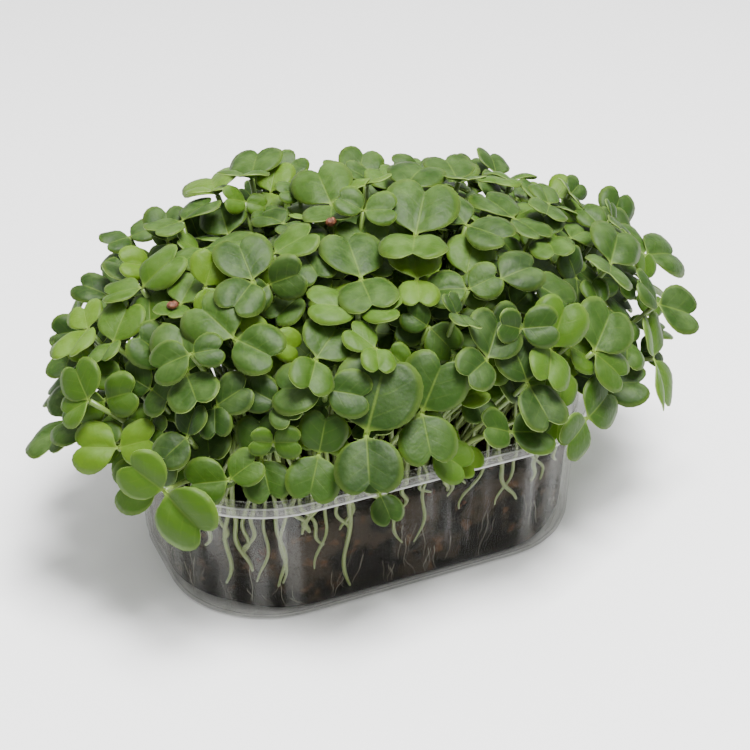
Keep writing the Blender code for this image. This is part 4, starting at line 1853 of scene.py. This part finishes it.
@dataclass
class Punnet:
    """The clear tray: floor, drafted wall with fluted corners, flat rim and skirt."""

    clear: Material
    round_steps: int = 192
    flutes: int = 5
    flute_strength: float = 1.15
    # Rows of the section: inset, height or depth below the top, flute, milkiness, painted
    # highlight line
    foot_outside: Rows = ((14.0, 0.0), (2.4, 0.0, 0.0, 0.3), (1.2, 0.15, 0.0, 0.9),
                          (0.4, 0.75, 0.3, 0.9), (0.0, 2.1, 1.0, 0.45))
    wall_top_outside: Rows = ((0.0, 4.6, 0.7), (0.0, 3.4), (-0.1, 1.2), (-0.5, 0.75))
    lip: Rows = ((0.9, 0.7), (0.55, 0.9, 0.0, 0.3), (0.5, 1.6, 0.0, 0.5), (0.25, 2.5, 0.0, 0.6),
                 (0.22, 2.8, 0.0, 0.0, 1.0), (-0.02, 3.0, 0.0, 0.0, 1.0),
                 (-0.30, 2.95, 0.0, 0.0, 1.0), (-0.34, 2.65, 0.0, 0.0, 0.9),
                 (-0.12, 2.35, 0.0, 0.7), (-0.05, 1.4, 0.0, 0.6), (0.0, 0.6, 0.0, 0.5),
                 (0.1, 0.25, 0.0, 0.0, 0.9), (0.35, 0.05, 0.0, 0.0, 0.9), (0.8, 0.0, 0.0, 0.4))
    wall_top_inside: Rows = ((-0.4, 0.0, 0.0, 0.3), (0.1, 0.05, 0.0, 0.0, 0.7),
                             (0.5, 0.3, 0.0, 0.0, 0.5), (0.7, 0.9), (0.7, 4.6, 0.7))
    foot_inside: Rows = ((1.1, 1.3, 0.3, 0.5), (2.4, 0.72, 0.0, 0.3), (14.0, 0.7))

    def profile(self) -> list[SheetRow]:
        """The sheet's section, up the outside and then down the inside.

        Returns:
            Its rows.
        """
        foot, rim, top = TRAY.rim + TRAY.draft, TRAY.rim, TRAY.height

        def wall(z: float, sheet: float) -> SheetRow:
            """A row of the drafted wall at a height."""
            return SheetRow(foot + sheet - TRAY.draft * (z - TRAY.foot) / TRAY.straight, z, 1.0)

        rows = [SheetRow(foot + inset, z, *looks) for inset, z, *looks in self.foot_outside]
        rows += [wall(z, 0.0) for z in (5.0, 9.0, 16.0, 24.0, 32.0, 37.0)]
        rows += [SheetRow(rim + inset, top - down, *looks)
                 for inset, down, *looks in self.wall_top_outside]
        rows += [SheetRow(inset, top - down, *looks) for inset, down, *looks in self.lip]
        rows += [SheetRow(rim + inset, top - down, *looks)
                 for inset, down, *looks in self.wall_top_inside]
        rows += [wall(z, TRAY.wall) for z in (37.0, 32.0, 24.0, 16.0, 8.0, 3.0)]
        rows += [SheetRow(foot + inset, z, *looks) for inset, z, *looks in self.foot_inside]
        return rows

    def corner_wave(self, share: float) -> float:
        """Depth of the flutes, zero on the flats.

        Args:
            share: Share of the way round.

        Returns:
            The shift of the wall in millimetres.
        """
        here = wall_point(share, TRAY.rim, 0.0)
        flat_x, flat_y = TRAY.half[0] - TRAY.corner, TRAY.half[1] - TRAY.corner
        if abs(here.x) <= flat_x or abs(here.y) <= flat_y:
            return 0.0
        turn = math.atan2(abs(here.y) - flat_y, abs(here.x) - flat_x) / (0.5 * math.pi)
        wave = 0.5 - 0.5 * math.cos(turn * math.tau * self.flutes)
        return -TRAY.flute * self.flute_strength * wave ** 1.5

    def build(self) -> None:
        """Build the shell and hide its plain solid."""
        profile = self.profile()
        body = new_body()
        look = body.verts.layers.float_color["look"]
        waves = [self.corner_wave(step / self.round_steps) for step in range(self.round_steps)]

        def lay(corner: bmesh.types.BMVert, step: int, row: int) -> None:
            """Set one corner of the sheet, with its milkiness, painted highlight line and crease,
            which the finish turns into painted shade.

            Args:
                corner: The corner.
                step: Its step round the tray.
                row: Its row of the section.
            """
            sheet = profile[row]
            wave = waves[step] * sheet.flute
            corner.co = wall_point(step / self.round_steps, sheet.inset - wave, sheet.z) * MM
            # Milkiness, painted highlight line, and the flute depth for the painted shade in the
            # valleys
            corner[look] = (sheet.milk, sheet.line, min(abs(wave) / 0.5, 1.0) ** 2, 1.0)

        wrap_shell(body, self.round_steps, len(profile), lay)
        piece = finish_piece(body, "punnet_shell", [self.clear], PartSlot.CLEAR)
        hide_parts("tray")


@dataclass
class SoilBed:
    """The growing medium: a grained block, crumbs, flecks, and stems and roots at the wall."""

    soil: Material
    fibre: Material
    root: Material
    stem: Material
    round_steps: int = 260
    rings_across: int = 26
    rings_down: int = 22
    play: float = 0.35
    lift: float = 1.3
    sink: float = 2.2
    near_hollow: float = 3.6
    other_hollow: float = 2.5
    crumbs: int = 3600
    flecks: int = 150
    deepest_crumb: float = 26.0
    crumb_tilt: float = 0.5
    roots: int = 170
    root_widths: Pair = (0.05, 0.11)
    root_sway: float = 0.0014
    loose_stems: int = 24
    stem_widths: Pair = (0.46, 0.74)
    stem_sway: float = 0.0045
    # Place along the tray, lowest height and lean of the stems that the picture shows
    shown_stems: tuple[tuple[int, int, int], ...] = (
        (-64, 22, 3), (-56, 12, 3), (-41, 13, 3), (-29, 16, 3), (-62, 30, 4), (-59, 24, 6),
        (-58, 28, 0), (-55, 18, -3), (-52, 24, 2), (-50, 25, 3), (-47, 14, 2), (-44, 12, -1),
        (-40, 30, -5), (-37, 24, -8), (-33, 30, 3), (-31, 30, 5), (-26, 26, -3), (-22, 6, 0),
        (-20, 28, 3), (-16, 33, -4), (-12, 17, -9), (-9, 30, 5), (-3, 30, 2), (1, 33, -3),
        (4, 16, 3), (9, 30, -3), (13, 32, 4), (18, 33, 3), (24, 24, 9), (28, 22, -6),
        (34, 22, 5), (39, 26, -7), (44, 27, 5), (48, 30, -4))
    # Places along the tray, and heights, where flecks gather at the front wall
    fleck_clumps: tuple[tuple[int, int], ...] = (
        (-37, 28), (-27, 26), (-33, 22), (-15, 30), (-2, 30), (5, 30), (12, 26), (21, 26),
        (30, 27), (-49, 23), (-59, 30), (-20, 24), (-44, 26))
    draw: random.Random = field(default_factory=lambda: random.Random(5))

    def side_inset(self, z: float) -> float:
        """Inset of the soil's side from the rim's outer edge at a height."""
        inset = TRAY.rim + TRAY.wall + TRAY.draft + self.play
        return inset - TRAY.draft * (z - TRAY.foot) / TRAY.straight

    def swell(self, here: Vector) -> float:
        """How much the soil rises at a place, in broad and in small lumps."""
        return noise.noise(here * 0.16) + 0.7 * noise.noise(here * 0.45)

    def hollow(self, share: float, z: float) -> float:
        """How far the soil falls short of the wall in the tray's corners.

        Args:
            share: Share of the way round.
            z: Height.

        Returns:
            The extra inset in millimetres.
        """
        here = wall_point(share, TRAY.rim, 0.0)
        over_x = abs(here.x) - (TRAY.half[0] - TRAY.corner)
        over_y = abs(here.y) - (TRAY.half[1] - TRAY.corner)
        if over_x <= 0.0 or over_y <= 0.0:
            return 0.0
        bump = min(over_x, over_y) / (TRAY.corner * 0.71)
        most = self.near_hollow if here.x < 0.0 and here.y < 0.0 else self.other_hollow
        return most * bump * min(max((SOIL.top - 2.0 - z) / 6.0, 0.0), 1.0)

    def build_block(self) -> None:
        """Build the block, its top rough and its side pressed against the wall."""
        middle = TRAY.half[1] - 0.6
        profile = [(middle - (middle - self.side_inset(SOIL.top) - 1.0) * step
                    / self.rings_across, SOIL.top, 1.0) for step in range(self.rings_across + 1)]
        heights = [SOIL.top - 0.6 - (SOIL.top - 4.4) * step / self.rings_down
                   for step in range(self.rings_down + 1)]
        profile += [(self.side_inset(z) + 0.15, z, 0.5 + 0.5 * (z < 20.0)) for z in heights]
        low = TRAY.wall + SOIL.gap
        profile += [(self.side_inset(4.0) + 0.9, 2.4, 0.2), (self.side_inset(4.0) + 2.4, low, 0.0),
                    (middle, low, 0.0)]

        def lay(corner: bmesh.types.BMVert, step: int, row: int) -> None:
            """Set one corner of the block, lifted on its top and sunk in on its side.

            Args:
                corner: The corner.
                step: Its step round the tray.
                row: Its row of the section.
            """
            inset, z, rough = profile[row]
            share = step / self.round_steps
            here = wall_point(share, inset, z)
            swell = self.swell(here) + 0.4 * noise.noise(here * 1.1)
            if row <= self.rings_across:
                push = UP * (self.lift * swell)
            else:
                sunk = self.hollow(share, z) + max(swell, 0.0) * rough * self.sink
                push = Vector((-here.x, -here.y, 0.0)).normalized() * sunk
            corner.co = (here + push) * MM

        body = bmesh.new()
        wrap_shell(body, self.round_steps, len(profile), lay)
        piece = finish_piece(body, "soil_block", [self.soil], PartSlot.SOIL)
        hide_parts("soil")

    def crumb_stamp(self) -> Stamp:
        """A unit crumb with a few uneven faces.

        Returns:
            The stamp.
        """
        body = bmesh.new()
        bmesh.ops.create_icosphere(body, subdivisions=1, radius=1.0)
        for corner in body.verts:
            corner.co *= 1.0 + 0.35 * noise.noise(corner.co * 1.7)
        return Stamp(body)

    def scatter(self, name: str, count: int, sizes: Pair, material: Material, side_share: float,
                flat: float, clumps: Sequence[tuple[int, int]] = ()) -> None:
        """Scatter crumbs over the soil's top and side.

        Args:
            name: Name of the piece.
            count: Number of crumbs.
            sizes: Smallest and largest radius in millimetres.
            material: Their finish.
            side_share: Share of them on the side.
            flat: How thin they are.
            clumps: Places along the front wall, and heights, where they gather.
        """
        stamp = self.crumb_stamp()
        body = new_body()
        half_x, half_y, corner = soil_half()
        for _ in range(count):
            size = self.draw.uniform(*sizes)
            if self.draw.random() < side_share:
                z = SOIL.top - self.deepest_crumb * self.draw.random() ** 1.6
                share = self.draw.random()
                if clumps:
                    x, level = self.draw.choice(clumps)
                    share = front_share(x + self.draw.gauss(0.0, 1.6))
                    z = min(level + self.draw.gauss(0.0, 1.4), SOIL.top)
                inset = self.side_inset(z) + 0.45 + size * flat
                here = wall_point(share, inset + 0.6 * self.hollow(share, z), z)
                face = Vector((here.x, here.y, 0.0)).normalized()
            else:
                here = Vector((self.draw.uniform(-half_x, half_x),
                               self.draw.uniform(-half_y, half_y), SOIL.top))
                if not inside_rounded(here.x, here.y, half_x - 1.5, half_y - 1.5, corner - 1.5):
                    continue
                here.z += self.lift * self.swell(here) + size * 0.25
                tilt = self.crumb_tilt
                face = (UP + Vector((self.draw.uniform(-tilt, tilt),
                                     self.draw.uniform(-tilt, tilt), 0.0))).normalized()
            turn = (UP.rotation_difference(face).to_matrix()
                    @ Matrix.Rotation(self.draw.uniform(0.0, math.tau), 3, "Z"))
            wide = self.draw.uniform(0.7, 1.2)

            def place(unit: Vector, here: Vector = here, turn: Matrix = turn, size: float = size,
                      wide: float = wide) -> Vector:
                """A corner of the unit crumb on this crumb, in metres."""
                return (here + turn @ Vector((unit.x * size, unit.y * size * wide,
                                              unit.z * size * flat))) * MM

            stamp.press(body, place)
        finish_piece(body, name, [material], PartSlot.SOIL)
        stamp.drop()

    def wall_path(self, share: float, drift: float, low: float, high: float, inset: float,
                  steps: int, sway: float) -> list[Vector]:
        """A path that wanders down the inside of the wall.

        Args:
            share: Share of the way round at its top.
            drift: How far it moves round on its way down.
            low: Lowest height.
            high: Highest height.
            inset: Distance inside the soil's side.
            steps: Points of the path.
            sway: Size of its wandering.

        Returns:
            The points in millimetres, from the bottom up.
        """
        phase = self.draw.uniform(0.0, math.tau)
        path = []
        for step in range(steps):
            t = step / (steps - 1)
            z = low + (high - low) * t
            here = share + drift * (1.0 - t) + sway * math.sin(phase + 6.5 * t) * (1.0 - t * t)
            path.append(wall_point(here, self.side_inset(max(z, 4.0)) + inset, z))
        return path

    def build_wall_stems(self) -> None:
        """Stems that grew down between the soil and the wall."""
        stamp = tube_stamp(8, 20)
        body = new_body()
        spots = [(front_share(x), low, lean) for x, low, lean in self.shown_stems]
        spots += [(self.draw.uniform(0.02, 0.5), self.draw.uniform(10.0, 27.0),
                   self.draw.uniform(-6.0, 6.0)) for _ in range(self.loose_stems)]
        for share, low, lean in spots:
            path = self.wall_path(share, -lean / 400.0, low, 40.0, inset=0.30, steps=9,
                                  sway=self.stem_sway)
            rim = wall_point(share + self.draw.uniform(-0.01, 0.01), 6.8, 51.0)
            dome = wall_point(share + lean / 500.0 + self.draw.uniform(-0.012, 0.012), 9.0, 63.0)
            width = self.draw.uniform(*self.stem_widths)
            stamp.press(body, tube_place(
                path + [rim, dome], lambda t, width=width: width * (0.55 + 0.45 * min(
                    t * 5.0, 1.0))))
        finish_piece(body, "wall_stems", [self.stem], PartSlot.GREEN)
        stamp.drop()

    def build_roots(self) -> None:
        """Fine white roots against the wall."""
        stamp = tube_stamp(5, 12)
        body = new_body()
        for _ in range(self.roots):
            share = self.draw.random()
            high = self.draw.uniform(7.0, 24.0)
            low = max(3.5, high - self.draw.uniform(4.0, 16.0))
            path = self.wall_path(share, self.draw.uniform(-0.012, 0.012), low, high,
                                  inset=0.12, steps=8, sway=self.root_sway)
            width = self.draw.uniform(*self.root_widths)
            stamp.press(body, tube_place(path, lambda t, width=width: width * (0.4 + 0.6 * t)))
        finish_piece(body, "wall_roots", [self.root], PartSlot.SOIL)
        stamp.drop()

    def build(self) -> None:
        """Build everything in the tray."""
        self.build_block()
        self.scatter("soil_crumbs", self.crumbs, (0.5, 1.6), self.soil, side_share=0.70,
                     flat=0.8)
        self.scatter("brown_flecks", self.flecks, (0.8, 1.4), self.fibre, side_share=0.8,
                     flat=0.7, clumps=self.fleck_clumps)
        self.build_wall_stems()
        self.build_roots()


@dataclass
class SeedHulls:
    """The two seed hulls that lie on leaves."""

    husk: Material
    size: float = 0.95
    groove: float = 0.24
    groove_width: float = 0.16
    wrinkle: float = 0.09
    fine_wrinkle: float = 0.05

    def build(self) -> None:
        """Replace each plain hull by a split, wrinkled one in its box."""
        for number in (1, 2):
            node = "seed_hull_%02d" % number
            low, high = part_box(node)
            centre, half = (low + high) * 0.5, (high - low) * 0.5
            body = bmesh.new()
            bmesh.ops.create_uvsphere(body, u_segments=36, v_segments=24, radius=1.0)
            for corner in body.verts:
                unit = corner.co.copy()
                groove = (self.groove * math.exp(-(unit.x / self.groove_width) ** 2)
                          * max(unit.z, 0.0))
                wrinkle = (self.wrinkle * noise.noise(unit * 2.2)
                           + self.fine_wrinkle * noise.noise(unit * 6.0))
                size = self.size - groove + wrinkle
                corner.co = Vector((centre.x + unit.x * half.x * size,
                                    centre.y + unit.y * half.y * size,
                                    centre.z + unit.z * half.z * size))
            for face in body.faces:
                face.smooth = True
            piece = finish_piece(body, "husk_%02d" % number, [self.husk], PartSlot.HULL)
            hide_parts(node)


# Stage


@dataclass(frozen=True)
class Studio:
    """Camera, lights and floor."""

    azimuth: float = -23.4
    elevation: float = 31.5
    distance: float = 0.510
    aim_turn: Pair = (-0.73, -0.61)
    aim_height: float = 0.045
    lens: float = 79.0
    light_aim: float = 0.06
    world_low: float = 0.56
    world_high: float = 1.20

    def back(self, azimuth: float, elevation: float) -> Vector:
        """Direction from the tray to a viewer.

        Args:
            azimuth: Degrees round from the front.
            elevation: Degrees above the horizon.

        Returns:
            A unit vector.
        """
        a, e = math.radians(azimuth), math.radians(elevation)
        return Vector((math.sin(a) * math.cos(e), -math.cos(a) * math.cos(e), math.sin(e)))

    def turn_to(self, holder: Piece, back: Vector) -> None:
        """Turn a camera or light so that it looks against a direction."""
        holder.rotation_mode = "QUATERNION"
        holder.rotation_quaternion = (-back).to_track_quat("-Z", "Y")

    def build_camera(self) -> None:
        """Set the camera at the photograph's place."""
        camera = bpy.data.cameras.new("view")
        camera.lens = self.lens
        camera.sensor_width = 36.0
        camera.clip_start = 0.01
        holder = add_object("view", camera)
        holder.location = (UP * self.aim_height
                           + self.back(self.azimuth, self.elevation) * self.distance)
        self.turn_to(holder, self.back(self.azimuth + self.aim_turn[0],
                                       self.elevation + self.aim_turn[1]))
        bpy.context.scene.camera = holder

    def add_area(self, name: str, azimuth: float, elevation: float, distance: float, size: float,
                 power: float) -> None:
        """Add a soft square light that faces the tray.

        Args:
            name: Name of the light.
            azimuth: Degrees round from the front.
            elevation: Degrees above the horizon.
            distance: Distance from the tray in metres.
            size: Side of the light in metres.
            power: Its power in watts.
        """
        light = bpy.data.lights.new(name, "AREA")
        light.energy = power
        light.size = size
        holder = add_object(name, light)
        back = self.back(azimuth, elevation)
        holder.location = UP * self.light_aim + back * distance
        self.turn_to(holder, back)

    def build(self) -> None:
        """Build the stage."""
        self.build_camera()
        self.add_area("top_light", azimuth=20.0, elevation=77.0, distance=1.2, size=0.5,
                      power=50.0)
        world = bpy.data.worlds.new("studio")
        world.use_nodes = True
        tree = world.node_tree
        tree.nodes["Background"].inputs["Color"].default_value = (1.0, 1.0, 1.0, 1.0)
        place = tree.nodes.new("ShaderNodeTexCoord")
        parts = tree.nodes.new("ShaderNodeSeparateXYZ")
        rise = tree.nodes.new("ShaderNodeMapRange")
        rise.inputs["To Min"].default_value = self.world_low
        rise.inputs["To Max"].default_value = self.world_high
        tree.links.new(place.outputs["Generated"], parts.inputs["Vector"])
        tree.links.new(parts.outputs["Z"], rise.inputs["Value"])
        tree.links.new(rise.outputs[0], tree.nodes["Background"].inputs["Strength"])
        bpy.context.scene.world = world
        body = bmesh.new()
        bmesh.ops.create_grid(body, x_segments=2, y_segments=2, size=20.0)
        add_mesh(body, "floor", [FloorFinish().make()])


def main() -> None:
    """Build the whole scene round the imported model."""
    logging.basicConfig(level=logging.INFO, format="%(name)s: %(message)s")
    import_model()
    Studio().build()

    planting = Planting(tuft_places())
    planting.plant()
    stem = StemFinish().make()
    foliage = Foliage(LeafFinish().make(), MARGIN.make(), UNDERSIDE.make(), stem)
    foliage.build_tufts(planting)
    lower = planting.plant_below()
    LOG.info("seedlings: %d in the tufts, %d below", len(planting.kept) - len(lower), len(lower))
    foliage.build_below(lower)
    Punnet(ClearFinish().make()).build()
    SoilBed(SoilFinish().make(), FibreFinish().make(), ROOT.make(), stem).build()
    SeedHulls(HuskFinish().make()).build()


if __name__ == "__main__":
    main()
